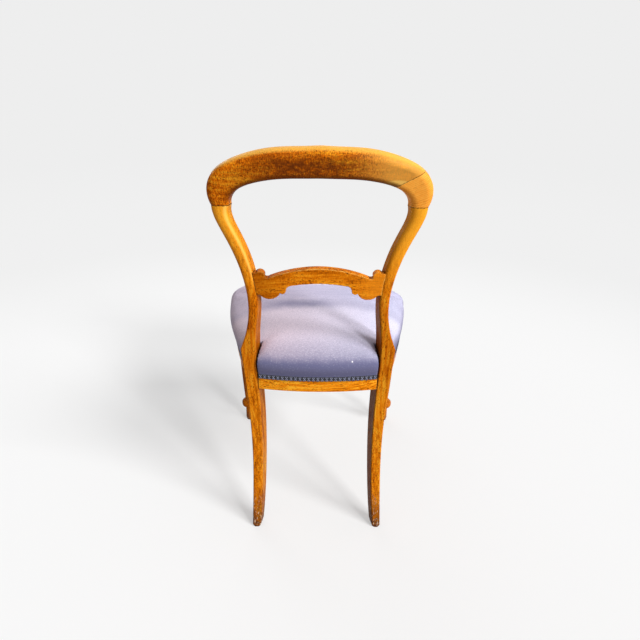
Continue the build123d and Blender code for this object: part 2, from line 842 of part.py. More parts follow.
# ------------------------------------------------------------------ webbing and hessian
with BuildPart() as webbing_columns:
    with BuildSketch(Plane.XY.offset(rail_top)):
        for front_x, rear_x in zip(webbing_column_fronts, webbing_column_rears):
            with BuildLine():
                Polyline(
                    (front_x - webbing_width / 2, front_rail_face),
                    (front_x + webbing_width / 2, front_rail_face),
                    (rear_x + webbing_width / 2, rear_rail_face),
                    (rear_x - webbing_width / 2, rear_rail_face),
                    close=True,
                )
            make_face()
        add(seat_plan(0.0, -webbing_edge), mode=Mode.INTERSECT)
    extrude(amount=webbing_thickness)
    add(leg_notches(leg_gap, rail_top - cut_room, ear_z), mode=Mode.SUBTRACT)
save(webbing_columns, "webbing_front_to_back")

with BuildPart() as webbing_across:
    with BuildSketch(Plane.XY.offset(rail_top + webbing_thickness)):
        with Locations(*[(0, row_y) for row_y in webbing_rows]):
            Rectangle(2 * room, webbing_width)
        add(seat_plan(0.0, -webbing_edge), mode=Mode.INTERSECT)
    extrude(amount=webbing_thickness)
    add(leg_notches(leg_gap, rail_top - cut_room, ear_z), mode=Mode.SUBTRACT)
save(webbing_across, "webbing_side_to_side")

with BuildPart() as hessian:
    with BuildSketch(Plane.XY.offset(hessian_bottom)):
        add(seat_plan(0.0, -hessian_edge))
    extrude(amount=hessian_thickness)
    add(leg_notches(leg_gap, rail_top - cut_room, ear_z), mode=Mode.SUBTRACT)
save(hessian, "hessian")

# ------------------------------------------------------------------ cushion
skirt_top = cover_bottom + skirt_height
skirt_grow = fabric_gap + cover_thickness


def cushion(inset, low):
    """Crowned cushion from the height low upwards, all its faces moved in by the inset.

    Above its widest place it is a superellipse in side view, and below it the sides draw in
    to the skirt.
    """
    sections = []
    for step in range(cushion_low_steps):
        share = step / cushion_low_steps
        drawn_in = (overhang - skirt_grow) * (1 - share) ** 2
        sections.append(seat_plan(blend(skirt_top, bulge_z, share), overhang - drawn_in - inset))
    for step in range(cushion_top_steps + 1):
        angle = step / cushion_top_steps * cushion_top_end
        shrink = cos(angle) ** (2 / cushion_side_power)
        rise = (seat_crown - inset - bulge_z) * sin(angle) ** (2 / cushion_top_power)
        sections.append(seat_plan(bulge_z + rise, overhang - inset, shrink))
    with BuildPart() as body:
        with BuildSketch(Plane.XY.offset(low)):
            add(seat_plan(0.0, skirt_grow - inset))
        extrude(amount=skirt_top - low)
        loft(sections, ruled=True)
    return body.part


upholstery_notches = leg_notches(leg_gap, cover_bottom - cut_room, seat_crown + cut_room)
with BuildPart() as frame_room:
    with BuildSketch(Plane.XY.offset(rail_bottom)):
        add(seat_plan(0.0, fabric_gap))
    extrude(amount=hessian_top - rail_bottom)

with BuildPart() as seat_cover:
    add(cushion(0.0, cover_bottom))
    add(cushion(cover_thickness, cover_bottom - cut_room), mode=Mode.SUBTRACT)
    add(upholstery_notches, mode=Mode.SUBTRACT)
save(seat_cover, "seat_cover")

with BuildPart() as stuffing:
    add(cushion(cover_thickness + fabric_gap, cover_bottom))
    add(frame_room.part, mode=Mode.SUBTRACT)
    add(upholstery_notches, mode=Mode.SUBTRACT)
    split(bisect_by=Plane.XY.offset(rail_top), keep=Keep.TOP)
save(stuffing, "stuffing")


# ------------------------------------------------------------------ braid
def braid(front, rear):
    """Braid on the lower edge of the cover, between two places from front to rear."""
    with BuildPart() as made:
        with BuildSketch(Plane.XY.offset(cover_bottom)):
            add(seat_plan(0.0, skirt_grow + gimp_thickness))
            add(seat_plan(0.0, skirt_grow), mode=Mode.SUBTRACT)
            with Locations((0, (front + rear) / 2)):
                Rectangle(2 * room, rear - front, mode=Mode.INTERSECT)
        extrude(amount=gimp_width)
        add(upholstery_notches, mode=Mode.SUBTRACT)
    return made.part


with BuildPart() as rear_braid:
    add(braid(leg_front + leg_depth / 2, leg_rear + room))
save(rear_braid, "rear_braid")

with BuildPart() as front_braid:
    add(braid(-room, leg_front))
save(front_braid, "front_braid")
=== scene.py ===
from math import atan2, cos, pi, radians, sin, tan

import bmesh
import bpy
import numpy as np
from mathutils import Matrix, Vector


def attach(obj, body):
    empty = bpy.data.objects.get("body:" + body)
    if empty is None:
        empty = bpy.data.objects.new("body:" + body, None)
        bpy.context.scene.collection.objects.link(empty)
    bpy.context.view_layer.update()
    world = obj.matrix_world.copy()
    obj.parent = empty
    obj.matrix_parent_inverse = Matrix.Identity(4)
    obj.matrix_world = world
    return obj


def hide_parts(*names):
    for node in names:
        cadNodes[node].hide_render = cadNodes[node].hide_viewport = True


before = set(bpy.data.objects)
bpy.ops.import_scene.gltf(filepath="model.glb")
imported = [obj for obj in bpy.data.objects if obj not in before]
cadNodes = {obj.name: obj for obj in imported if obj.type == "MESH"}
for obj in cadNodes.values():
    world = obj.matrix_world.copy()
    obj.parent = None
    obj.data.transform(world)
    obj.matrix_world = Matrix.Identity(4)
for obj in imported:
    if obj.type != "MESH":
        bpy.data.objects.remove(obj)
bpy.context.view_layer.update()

print("frame loaded, nodes:", len(cadNodes))


# Camera: turned from the -Y view by yaw, tipped down by pitch, rolled about its own line of sight.
camera = dict(place=(0.00695, 1.1754, 0.9634), yaw=-0.0105, pitch=0.4755, roll=0.0129,
              lens=28.375, shift=(0.0005, 0.0490))


def makeCamera():
    yaw, pitch, roll = camera["yaw"], camera["pitch"], camera["roll"]
    forward = Vector((sin(yaw) * cos(pitch), -cos(yaw) * cos(pitch), -sin(pitch)))
    right = Vector((-cos(yaw), -sin(yaw), 0))
    up = right.cross(forward)
    turnedRight = right * cos(roll) + up * sin(roll)
    turnedUp = up * cos(roll) - right * sin(roll)
    data = bpy.data.cameras.new("camera")
    data.lens = camera["lens"]
    data.sensor_width = 36
    data.shift_x, data.shift_y = camera["shift"]
    made = bpy.data.objects.new("camera", data)
    turn = Matrix((turnedRight, turnedUp, -forward)).transposed().to_4x4()
    made.matrix_world = Matrix.Translation(camera["place"]) @ turn
    bpy.context.scene.collection.objects.link(made)
    bpy.context.scene.camera = made


makeCamera()


# Each of these adds one node, or a short run of them, to a tree.
def addNode(tree, kind, inputs=None, **settings):
    # a node with its settings; an input is a value, or another node's output
    made = tree.nodes.new("ShaderNode" + kind)
    for name, value in settings.items():
        setattr(made, name, value)
    for name, value in (inputs or {}).items():
        socket = made.inputs[name]
        if isinstance(value, bpy.types.NodeSocket):
            tree.links.new(value, socket)
        else:
            socket.default_value = value
    return made


def treeOf(*values):
    # the tree that holds the first of the values that is a node's output
    return next(value for value in values if isinstance(value, bpy.types.NodeSocket)).id_data


def math(operation, first, second=0.0, third=0.0, clamp=False):
    return addNode(treeOf(first, second, third), "Math", {0: first, 1: second, 2: third},
                   operation=operation, use_clamp=clamp).outputs[0]


def vectorMath(operation, first, second=(0, 0, 0)):
    made = addNode(treeOf(first, second), "VectorMath", {0: first, 1: second}, operation=operation)
    return made.outputs["Value" if operation in ("DOT_PRODUCT", "LENGTH") else "Vector"]


def ramp(value, low, high, fromLow=0.0, fromHigh=1.0, smooth=True):
    # value between two bounds, stretched to run from one number to another
    made = addNode(treeOf(value), "MapRange",
                   {"Value": value, "From Min": low, "From Max": high,
                    "To Min": fromLow, "To Max": fromHigh},
                   interpolation_type="SMOOTHSTEP" if smooth else "LINEAR")
    return made.outputs["Result"]


def mixColor(share, first, second, way="MIX"):
    # the first colour moved to the second one by a share
    tree = treeOf(share, first, second)
    made = tree.nodes.new("ShaderNodeMix")
    made.data_type = "RGBA"
    made.blend_type = way
    for socket, value in ((made.inputs[0], share), (made.inputs[6], first), (made.inputs[7], second)):
        if isinstance(value, bpy.types.NodeSocket):
            tree.links.new(value, socket)
        else:
            socket.default_value = value
    return made.outputs[2]


def noise(vector, scale=1.0, detail=3.0, rough=0.55):
    # noise at one scale, or at a scale for each axis
    if isinstance(scale, tuple):
        vector, scale = scaled(vector, scale), 1.0
    made = addNode(treeOf(vector), "TexNoise",
                   {"Vector": vector, "Scale": scale, "Detail": detail, "Roughness": rough})
    return made.outputs[0]


def scaled(vector, scale):
    return vectorMath("MULTIPLY", vector, scale)


def times(*values, clamp=False):
    # the product of all the values
    product = values[0]
    for value in values[1:]:
        product = math("MULTIPLY", product, value, clamp=clamp)
    return product


def plus(first, second, clamp=False):
    return math("ADD", first, second, clamp=clamp)


def minus(first, second):
    return math("SUBTRACT", first, second)


def partsOf(vector):
    # the X, Y and Z of a vector
    return addNode(treeOf(vector), "SeparateXYZ", {0: vector}).outputs


def facingOf(tree):
    return partsOf(addNode(tree, "NewGeometry").outputs["Normal"])


def distanceFrom(value, middle):
    return math("ABSOLUTE", minus(value, middle))


def layers(color, *coats):
    # coats over a colour, in turn: how much of each shows, its colour, and MULTIPLY where it only tints
    for share, other, *way in coats:
        color = mixColor(share, color, other, *way)
    return color


def seenRays(tree):
    # 1 for what the camera sees, also in gloss and through glass
    ray = addNode(tree, "LightPath").outputs
    seen = math("MAXIMUM", ray["Is Camera Ray"], ray["Is Glossy Ray"])
    return math("MAXIMUM", seen, ray["Is Transmission Ray"])


def addBump(tree, shader, strength, distance, height, **more):
    given = {"Strength": strength, "Distance": distance, "Height": height, **more}
    bump = addNode(tree, "Bump", given)
    tree.links.new(bump.outputs[0], shader.inputs["Normal"])


def setPlain(shader, **values):
    # values that are the same all over, on the shader's own sockets
    for name, value in values.items():
        shader.inputs[socketNames[name]].default_value = value


socketNames = dict(rough="Roughness", gloss="Specular IOR Level", coat="Coat Weight",
                   coatRough="Coat Roughness", sheen="Sheen Weight", sheenRough="Sheen Roughness",
                   sheenTint="Sheen Tint")


def rgb(red, green, blue):
    # a colour as a screen shows it, 0 to 255, as the linear values that a shader takes
    share = np.array((red, green, blue)) / 255
    linear = np.where(share > 0.04045, ((share + 0.055) / 1.055) ** 2.4, share / 12.92)
    return (*[float(part) for part in linear], 1.0)


def newGroup(name, inputs, outputs):
    # a shader node group with named sockets: name and kind, and a starting value if it has one
    group = bpy.data.node_groups.new(name, "ShaderNodeTree")
    for label, kind, value in inputs:
        socket = group.interface.new_socket(label, in_out="INPUT", socket_type="NodeSocket" + kind)
        if value is not None:
            socket.default_value = value
    for label, kind in outputs:
        group.interface.new_socket(label, in_out="OUTPUT", socket_type="NodeSocket" + kind)
    inside = group.nodes.new("NodeGroupInput").outputs
    outside = group.nodes.new("NodeGroupOutput").inputs
    return group, inside, outside


def placeGroup(tree, group, inputs):
    # a group's node in a material, with its own values
    made = tree.nodes.new("ShaderNodeGroup")
    made.node_tree = group
    for name, value in inputs.items():
        if isinstance(value, bpy.types.NodeSocket):
            tree.links.new(value, made.inputs[name])
        else:
            made.inputs[name].default_value = value
    return made.outputs


def newMaterial(name):
    # a material, its tree, its shader and the Object coordinates
    made = bpy.data.materials.new(name)
    made.use_nodes = True
    tree = made.node_tree
    shader = tree.nodes["Principled BSDF"]
    where = addNode(tree, "TexCoord").outputs["Object"]
    return made, tree, shader, where


def dress(node, material):
    # every slot of a CAD node takes the material
    slots = node.data.materials
    if not len(slots):
        slots.append(material)
    for at in range(len(slots)):
        slots[at] = material


# Wood: faint rings across the grain, fibres stretched along X, rays across them, short dark pores.
def makeWoodGroup():
    white = (1.0, 1.0, 1.0, 1.0)
    group, given, out = newGroup("woodGrain", [
        ("Vector", "Vector", None), ("Light", "Color", white), ("Middle", "Color", white),
        ("Dark", "Color", white), ("Ring Scale", "Float", 90.0), ("Ring Strength", "Float", 0.2),
        ("Streak Strength", "Float", 0.5), ("Pore Strength", "Float", 0.6), ("Ray Strength", "Float", 0.2),
        ("Cloud Strength", "Float", 0.5), ("Shift", "Float", 0.0),
    ], [("Color", "Color"), ("Height", "Float"), ("Dry", "Float")])
    shift = addNode(group, "CombineXYZ", {0: given["Shift"], 1: given["Shift"], 2: given["Shift"]})
    start = vectorMath("ADD", given["Vector"], shift.outputs[0])
    bend = noise(start, (4.0, 11.0, 11.0), 2.0)
    bent = times(minus(bend, 0.5), 0.03)
    sway = addNode(group, "CombineXYZ", {0: 0.0, 1: bent, 2: bent})
    along = vectorMath("ADD", start, sway.outputs[0])
    split = partsOf(along)
    across = plus(split[2], times(split[1], 0.35))
    turns = times(across, times(given["Ring Scale"], 6.283))
    wave = math("SINE", plus(turns, times(bend, 9.0)))
    fibre = noise(along, (60.0, 1000.0, 1000.0), 3.0, 0.6)
    streak = noise(along, (14.0, 260.0, 260.0), 4.0, 0.62)
    poreNoise = noise(along, (170.0, 680.0, 680.0), 2.0, 0.5)
    spread = noise(along, (18.0, 60.0, 60.0), 2.0)
    pores = times(ramp(poreNoise, 0.54, 0.64), ramp(spread, 0.34, 0.58, 0.3, 1.0))
    rays = noise(along, (640.0, 150.0, 150.0), 2.0, 0.6)
    cloud = noise(start, (9.0, 26.0, 26.0), 4.0, 0.6)

    def weighted(value, strength):
        return times(minus(value, 0.5), strength)

    tone = times(wave, times(given["Ring Strength"], 0.5))
    tone = plus(tone, weighted(streak, times(given["Streak Strength"], 3.0)))
    tone = plus(tone, weighted(fibre, given["Streak Strength"]))
    tone = plus(tone, weighted(rays, times(given["Ray Strength"], 3.0)))
    tone = plus(tone, weighted(cloud, times(given["Cloud Strength"], 3.0)))
    tone = plus(tone, 0.55, clamp=True)
    lower = mixColor(ramp(tone, 0.0, 0.5, smooth=False), given["Dark"], given["Middle"])
    body = mixColor(ramp(tone, 0.5, 1.0, smooth=False), lower, given["Light"])
    deep = mixColor(0.5, given["Dark"], (0.03, 0.01, 0.003, 1.0))
    marked = times(pores, given["Pore Strength"], clamp=True)
    group.links.new(mixColor(marked, body, deep), out["Color"])
    height = minus(times(fibre, 0.5), pores)
    group.links.new(height, out["Height"])
    group.links.new(minus(1.0, tone), out["Dry"])
    return group


# A joint line: how near a point lies to a plane through Point square to Across, within Width.
def makeJointGroup():
    group, given, out = newGroup("jointLine", [
        ("Vector", "Vector", None), ("Point", "Vector", None), ("Across", "Vector", None),
        ("Width", "Float", 0.0006),
    ], [("Mask", "Float")])
    fromPoint = vectorMath("SUBTRACT", given["Vector"], given["Point"])
    away = vectorMath("DOT_PRODUCT", fromPoint, given["Across"])
    uneven = noise(given["Vector"], 240.0, 2.0)
    width = times(given["Width"], ramp(uneven, 0.3, 0.7, 0.4, 1.5))
    mask = ramp(math("DIVIDE", math("ABSOLUTE", away), width), 1.0, 0.4)
    group.links.new(mask, out["Mask"])
    return group


# Worn edges, also painted lighter as edge highlights: the rounded normal of an edge against the flat one.
def makeEdgeGroup():
    group, given, out = newGroup("edgeWearAndHighlight", [
        ("Radius", "Float", 0.002), ("Vector", "Vector", None), ("Amount", "Float", 1.0),
    ], [("Mask", "Float"), ("Normal", "Vector")])
    rounded = addNode(group, "Bevel", {"Radius": given["Radius"]}, samples=4).outputs[0]
    flat = addNode(group, "NewGeometry").outputs["Normal"]
    turned = minus(1.0, vectorMath("DOT_PRODUCT", rounded, flat))
    patchy = noise(given["Vector"], 60.0, 3.0)
    mask = times(ramp(turned, 0.01, 0.16), ramp(patchy, 0.35, 0.62, 0.25, 1.0))
    group.links.new(times(mask, given["Amount"], clamp=True), out["Mask"])
    group.links.new(rounded, out["Normal"])
    return group


# Scratches and grime on the feet, below a height.
def makeScuffGroup():
    group, given, out = newGroup("footScuff", [
        ("Vector", "Vector", None), ("Top", "Float", 0.05), ("Amount", "Float", 1.0),
    ], [("Grime", "Float"), ("Scratch", "Float")])
    height = partsOf(given["Vector"])[2]
    uneven = noise(given["Vector"], 55.0, 3.0)
    edge = plus(height, times(minus(uneven, 0.5), 0.03))
    low = ramp(edge, given["Top"], 0.0)
    blotch = noise(given["Vector"], 130.0, 4.0, 0.65)
    grime = times(low, ramp(blotch, 0.35, 0.6, 0.45, 1.0))
    lines = noise(given["Vector"], (420.0, 260.0, 90.0), 3.0)
    scratch = times(low, ramp(lines, 0.58, 0.66))
    group.links.new(times(grime, given["Amount"], clamp=True), out["Grime"])
    group.links.new(times(scratch, given["Amount"], clamp=True), out["Scratch"])
    return group


woodGrain = makeWoodGroup()
jointLine = makeJointGroup()
edgeWearAndHighlight = makeEdgeGroup()
footScuff = makeScuffGroup()
print("node groups made")


# pale yellow of worn edges, also used as a painted highlight along edges
wornEdgeAndHighlight = rgb(255, 206, 104)
# dark brown of glue lines, also the colour of the painted shade in corners and where parts meet
jointAndShadeDark = rgb(70, 34, 10)


def makeWood(name, wood, turn, shift, extra=None):
    # waxed wood whose grain runs along the piece's own line, turned there by a Mapping node
    made, tree, shader, where = newMaterial(name)
    turned = addNode(tree, "Mapping", {"Vector": where, "Rotation": turn}, vector_type="TEXTURE")
    grain = placeGroup(tree, woodGrain, {
        "Vector": turned.outputs[0], "Light": wood["light"], "Middle": wood["middle"], "Dark": wood["dark"],
        "Ring Scale": wood["rings"], "Ring Strength": wood["ringStrength"], "Shift": shift,
        "Streak Strength": wood["streaks"], "Pore Strength": wood["pores"],
        "Ray Strength": wood["rays"], "Cloud Strength": wood["clouds"],
    })
    wornAndLitEdge = placeGroup(tree, edgeWearAndHighlight, {"Radius": wood["edge"], "Vector": where, "Amount": wood["edgeWearAndHighlight"]})
    # edges turn pale yellow: partly wear, partly a painted highlight
    color = mixColor(wornAndLitEdge["Mask"], grain["Color"], wornEdgeAndHighlight)
    rough = ramp(grain["Dry"], 0.0, 1.0, wood["rough"][0], wood["rough"][1])
    if extra:
        color = extra(tree, where, color)
    # painted shade: the colour darkens where ambient occlusion finds corners and parts that meet
    reach = {"Distance": wood["cornerShadeReach"]}
    bare = addNode(tree, "AmbientOcclusion", reach, samples=4).outputs["AO"]  # 1 in the open, less in corners
    color = mixColor(ramp(bare, 0.85, 0.4, 0.0, wood["cornerShade"]), color, jointAndShadeDark)
    tree.links.new(color, shader.inputs["Base Color"])
    tree.links.new(rough, shader.inputs["Roughness"])
    addBump(tree, shader, 0.25, 0.0004, grain["Height"], Normal=wornAndLitEdge["Normal"])
    setPlain(shader, gloss=wood["gloss"], coat=wood["coat"], coatRough=0.22)
    return made


upGrain = (0.0, pi / 2, 0.0)  # the pattern's X turned to stand up
sideGrain = (0.0, 0.0, 0.0)
backGrain = (0.0, 0.0, pi / 2)

scarf = dict(inset=0.0416, rise=0.0315, tilt=radians(28.5), widest=0.2056, spring=0.797)
scarfPoint = (-(scarf["widest"] - scarf["inset"]), 0.23, scarf["spring"] + scarf["rise"])
scarfAcross = (sin(scarf["tilt"]), 0.0, cos(scarf["tilt"]))
jointHeight = 0.7755


def jointLines(tree, where, color, *lines):
    # dark lines where two pieces are glued
    for point, across, width, strength in lines:
        line = {"Vector": where, "Point": point, "Across": across, "Width": width}
        mask = placeGroup(tree, jointLine, line)["Mask"]
        color = mixColor(times(mask, strength), color, jointAndShadeDark)
    return color


wedge = dict(place=(-0.138, 0.235, 0.8205), shrink=(35.0, 8.0, 150.0))  # a pale rubbed patch by the scarf
stileJoint = ((0.0, 0.0, jointHeight), (0.0, 0.0, 1.0), 0.0012, 0.85)
scarfJoint = (scarfPoint, scarfAcross, 0.0009, 0.6)
faintJoint = (*stileJoint[:3], 0.5)


def crestPatinaAndLight(tree, where, color):
    # a paler right end, brown patina low on the middle, a top painted lighter as a highlight, dark flecks, a
    # pale patch by the scarf, painted shade on the underside, and the joint lines
    place, facing = partsOf(where), facingOf(tree)
    flecks = noise(where, (760.0, 400.0, 260.0), 3.0, 0.65)
    blotch = noise(where, (90.0, 90.0, 170.0), 4.0, 0.7)
    paler = times(ramp(place[0], -0.035, -0.135), 0.6)
    stained = times(ramp(distanceFrom(place[0], 0.02), 0.155, 0.035),
                    ramp(facing[2], 0.8, 0.35), ramp(place[2], 0.882, 0.85),
                    ramp(facing[2], -0.8, -0.4, 0.3, 1.0), ramp(blotch, 0.3, 0.62, 0.2, 0.85))
    dots = times(ramp(flecks, 0.52, 0.62), ramp(place[0], -0.14, -0.05, 0.1, 1.0),
                 ramp(facing[2], 0.95, 0.6, 0.35, 1.0), 0.8)
    # painted highlight: faces that turn upwards are lightened
    paintedLight = times(ramp(facing[2], 0.45, 0.9), 0.75)
    fromWedge = scaled(vectorMath("SUBTRACT", where, wedge["place"]), wedge["shrink"])
    patchy = times(ramp(vectorMath("LENGTH", fromWedge), 1.0, 0.6), 0.8)
    # painted shade: faces that turn downwards are darkened
    under = ramp(facing[2], -0.1, -0.7, 0.0, 0.75)
    color = layers(color, (paler, rgb(255, 190, 84)), (stained, rgb(88, 38, 14)),
                   (paintedLight, rgb(248, 190, 80)), (dots, rgb(84, 36, 4)), (patchy, rgb(255, 206, 106)),
                   (under, rgb(96, 46, 8)))
    return jointLines(tree, where, color, stileJoint, scarfJoint)


def blockJoints(tree, where, color):
    # the two joints of the corner block, the lower one faint
    return jointLines(tree, where, color, faintJoint, scarfJoint)


def stileWearAndLight(tree, where, color):
    # painted shade on the legs' inner flanks below the seat, painted light on the upper backs, a painted
    # highlight streak up the left stile's inner edge, browner waists, duller lower legs, brown figure,
    # scuffed feet, and the joint at the crest
    place, facing = partsOf(where), facingOf(tree)
    inwards = times(facing[0], math("SIGN", place[0]))
    behind = ramp(facing[1], -0.2, 0.6)
    # painted shade: the inner flanks of the back legs below the seat are darkened, the right one most
    shadedFlank = times(ramp(inwards, -0.35, -0.85), ramp(place[2], 0.5, 0.4, 0.5, 0.8),
                  ramp(place[0], 0.02, -0.02, 0.2, 1.0))
    # painted light: the upper backs of the stiles are lightened, the right one more
    paintedLight = times(ramp(place[2], 0.58, 0.74, 0.0, 0.5), behind,
                   ramp(place[0], 0.02, -0.02, 1.0, 1.6))
    # painted highlight: a pale streak up the left stile's inner edge
    streak = times(ramp(inwards, -0.15, -0.5), ramp(inwards, -0.9, -0.6), behind,
                   ramp(place[2], 0.6, 0.66, 0.0, 0.6), ramp(place[0], -0.02, 0.02))
    waist = times(ramp(distanceFrom(place[2], 0.5), 0.15, 0.02), 0.75)
    lower = ramp(place[2], 0.5, 0.36, 0.0, 0.6)
    figure = noise(where, (90.0, 90.0, 16.0), 4.0, 0.65)
    brown = times(ramp(figure, 0.52, 0.68), ramp(place[2], 0.7, 0.62, 0.1, 0.6))
    scuff = placeGroup(tree, footScuff, {"Vector": where, "Top": 0.11, "Amount": 1.0})
    color = layers(color, (shadedFlank, rgb(122, 98, 70), "MULTIPLY"), (paintedLight, rgb(255, 174, 44)),
                   (streak, rgb(255, 208, 104)), (waist, rgb(196, 172, 130), "MULTIPLY"),
                   (lower, rgb(212, 208, 200), "MULTIPLY"), (brown, rgb(196, 160, 120), "MULTIPLY"),
                   (scuff["Grime"], rgb(84, 46, 22)),
                   (times(scuff["Scratch"], 0.7), rgb(226, 206, 180)))
    return jointLines(tree, where, color, stileJoint)


def crossLightAndShade(tree, where, color):
    # darker at the left end of the rail and lighter at the right one: painted shade and painted light
    sideways = partsOf(where)[0]
    return layers(color, (ramp(sideways, 0.06, 0.12, 0.0, 0.5), rgb(150, 74, 0)),
                  (ramp(sideways, -0.06, -0.12, 0.0, 0.5), rgb(248, 152, 32)))


def legWear(tree, where, color):
    # grime and scratches on the toes of the turned legs
    scuff = placeGroup(tree, footScuff, {"Vector": where, "Top": 0.045, "Amount": 0.9})
    return layers(color, (times(scuff["Grime"], 0.7), rgb(120, 90, 62)),
                  (times(scuff["Scratch"], 0.5), rgb(206, 194, 178)))


# Each wood also sets how strongly its corners and contacts are painted in shade, and how far that reaches.
oak = dict(light=rgb(252, 182, 48), middle=rgb(230, 130, 10), dark=rgb(136, 58, 0), rings=110.0,
           ringStrength=0.16, streaks=0.5, pores=0.85, rays=0.1, clouds=0.4, edge=0.0022, edgeWearAndHighlight=0.7,
           rough=(0.3, 0.5), gloss=0.02, coat=0.02, cornerShade=0.85, cornerShadeReach=0.011)
crestOak = dict(oak, light=rgb(255, 170, 36), middle=rgb(220, 112, 6), dark=rgb(122, 50, 2), rings=80.0,
                ringStrength=0.2, streaks=0.35, pores=0.7, rays=0.5, clouds=0.4, edge=0.003)
paleOak = dict(oak, light=rgb(255, 200, 96), middle=rgb(252, 164, 58), dark=rgb(206, 108, 20), rings=260.0,
               ringStrength=0.28, streaks=0.15, pores=0.3, rays=0.1, clouds=0.2)
crossOak = dict(oak, light=rgb(250, 166, 34), middle=rgb(216, 116, 6), dark=rgb(132, 58, 0), rings=56.0,
                ringStrength=0.16, streaks=0.38, pores=0.95, rays=0.3, clouds=0.6, edge=0.003,
                edgeWearAndHighlight=1.0, cornerShadeReach=0.018)
legOak = dict(oak, light=rgb(214, 134, 34), middle=rgb(180, 94, 8), dark=rgb(108, 48, 0), pores=0.95)
beech = dict(oak, light=rgb(214, 178, 134), middle=rgb(196, 156, 112), dark=rgb(160, 118, 78), pores=0.3,
             rays=0.3, rough=(0.6, 0.75), gloss=0.06, coat=0.0, cornerShade=0.4)

dress(cadNodes["crest_rail"], makeWood("oakCrest", crestOak, sideGrain, 0.0, crestPatinaAndLight))
dress(cadNodes["crest_corner_block"], makeWood("oakBlock", paleOak, (0.0, 0.5, 0.0), 0.31, blockJoints))
for side, shift in (("left", 0.13), ("right", 0.57)):
    dress(cadNodes["rear_leg_" + side], makeWood("oakStile_" + side, oak, upGrain, shift, stileWearAndLight))
    turnedWood = makeWood("oakTurned_" + side, legOak, upGrain, shift + 0.21, legWear)
    dress(cadNodes["front_leg_" + side], turnedWood)
    dress(cadNodes["side_seat_rail_" + side], makeWood("oakSide_" + side, oak, backGrain, shift + 0.4))
dress(cadNodes["cross_rail"], makeWood("oakCross", crossOak, sideGrain, 0.77, crossLightAndShade))
dress(cadNodes["rear_seat_rail"], makeWood("oakRear", oak, sideGrain, 0.9))
dress(cadNodes["front_seat_rail"], makeWood("oakFront", oak, sideGrain, 0.66))
braceWood = makeWood("beechBrace", beech, (0.0, 0.0, pi / 4), 0.2)
for name in ("corner_brace_front_left", "corner_brace_front_right", "corner_brace_rear_left",
             "corner_brace_rear_right", "crest_dowels"):
    dress(cadNodes[name], braceWood)
print("woods made")


# The plan of the seat frame, in metres, as the CAD has it.
seat = dict(legRear=0.186, legFront=0.144, legInner=0.1265, cant=tan(radians(11.0)), rearBow=0.013,
            sideBow=0.009, frontBow=0.019, railRear=0.16623, blockOuter=0.241, blockInner=0.197,
            blockFront=-0.2338, blockBack=-0.1898, corner=0.044, railTop=0.421, coverLow=0.386)
rearHalf = seat["legInner"] + (seat["legRear"] - seat["legFront"]) * seat["cant"]
seatMiddle = (seat["legRear"] + seat["rearBow"] + seat["blockFront"] - seat["frontBow"]) / 2


def arcThrough(first, middle, last, count):
    # round arc through three points: centre from the two equal-distance lines, even angles
    a, b, c = (np.array(point, float) for point in (first, middle, last))
    system = np.array((b - a, c - a)) * 2
    centre = np.linalg.solve(system, np.array((b @ b - a @ a, c @ c - a @ a)))
    angles = np.unwrap([atan2(*(point - centre)[::-1]) for point in (a, b, c)])
    turn = np.interp(np.linspace(0, 2, count), (0, 1, 2), angles)
    return centre + np.linalg.norm(a - centre) * np.stack((np.cos(turn), np.sin(turn)), axis=1)


def seatSides(grow):
    # the plan moved outwards by grow, as four runs: half the back, a side, half the front
    inset = 1 - cos(pi / 4)
    corner = seat["corner"] * inset - grow * (1 - inset)
    rear, front = seat["legRear"] + grow, seat["blockFront"] - grow
    sideRear = (seat["railRear"] + grow, seat["legFront"])
    sideFront = (seat["blockOuter"] + grow, seat["blockBack"])
    sideMiddle = ((sideRear[0] + sideFront[0]) / 2 + seat["sideBow"], (sideRear[1] + sideFront[1]) / 2)
    cornerPoint = (seat["blockOuter"] - corner, seat["blockFront"] + corner)
    rearArc = arcThrough((0, rear + seat["rearBow"]), (rearHalf / 2, rear + seat["rearBow"] * 0.75),
                         (rearHalf, rear), 40)
    rearLine = np.linspace((rearHalf, rear), sideRear, 20)
    sideArc = arcThrough(sideRear, sideMiddle, sideFront, 90)
    frontCorner = arcThrough(sideFront, cornerPoint, (seat["blockInner"], front), 41)
    inner, bow = seat["blockInner"], seat["frontBow"]
    frontArc = arcThrough((inner, front), (inner / 2, front - bow * 0.75), (0, front - bow), 60)
    backRun = np.vstack((rearArc, rearLine[1:]))
    sideRun = np.vstack((sideArc, frontCorner[1:21]))
    frontRun = np.vstack((frontCorner[20:], frontArc[1:]))
    return backRun, sideRun, frontRun


def along(points, shares):
    # places at the given shares of a line's length
    steps = np.linalg.norm(np.diff(points, axis=0), axis=1)
    length = np.concatenate(([0.0], np.cumsum(steps)))
    at = shares * length[-1]
    return np.stack([np.interp(at, length, column) for column in points.T], axis=1)


def mirrored(points):
    # X turned to its other sign
    return points * (-1, 1)


def seatLoop(grow, counts, dense):
    # the closed plan as four runs between its corners, each with its share of points
    back, side, front = seatSides(grow)
    fullBack = np.vstack((mirrored(back)[::-1], back[1:]))  # from the right corner to the left one
    fullFront = np.vstack((front, mirrored(front)[::-1][1:]))  # from the left to the right
    wide, deep = spread(counts[0], dense), spread(counts[1], dense)
    return along(fullBack, wide), along(side, deep), along(fullFront, wide), along(mirrored(side), deep)


def spread(count, dense):
    # even shares from 0 to 1, drawn towards both ends
    even = np.linspace(0, 1, count + 1)
    return even * (1 - dense) + (1 - np.cos(even * pi)) / 2 * dense


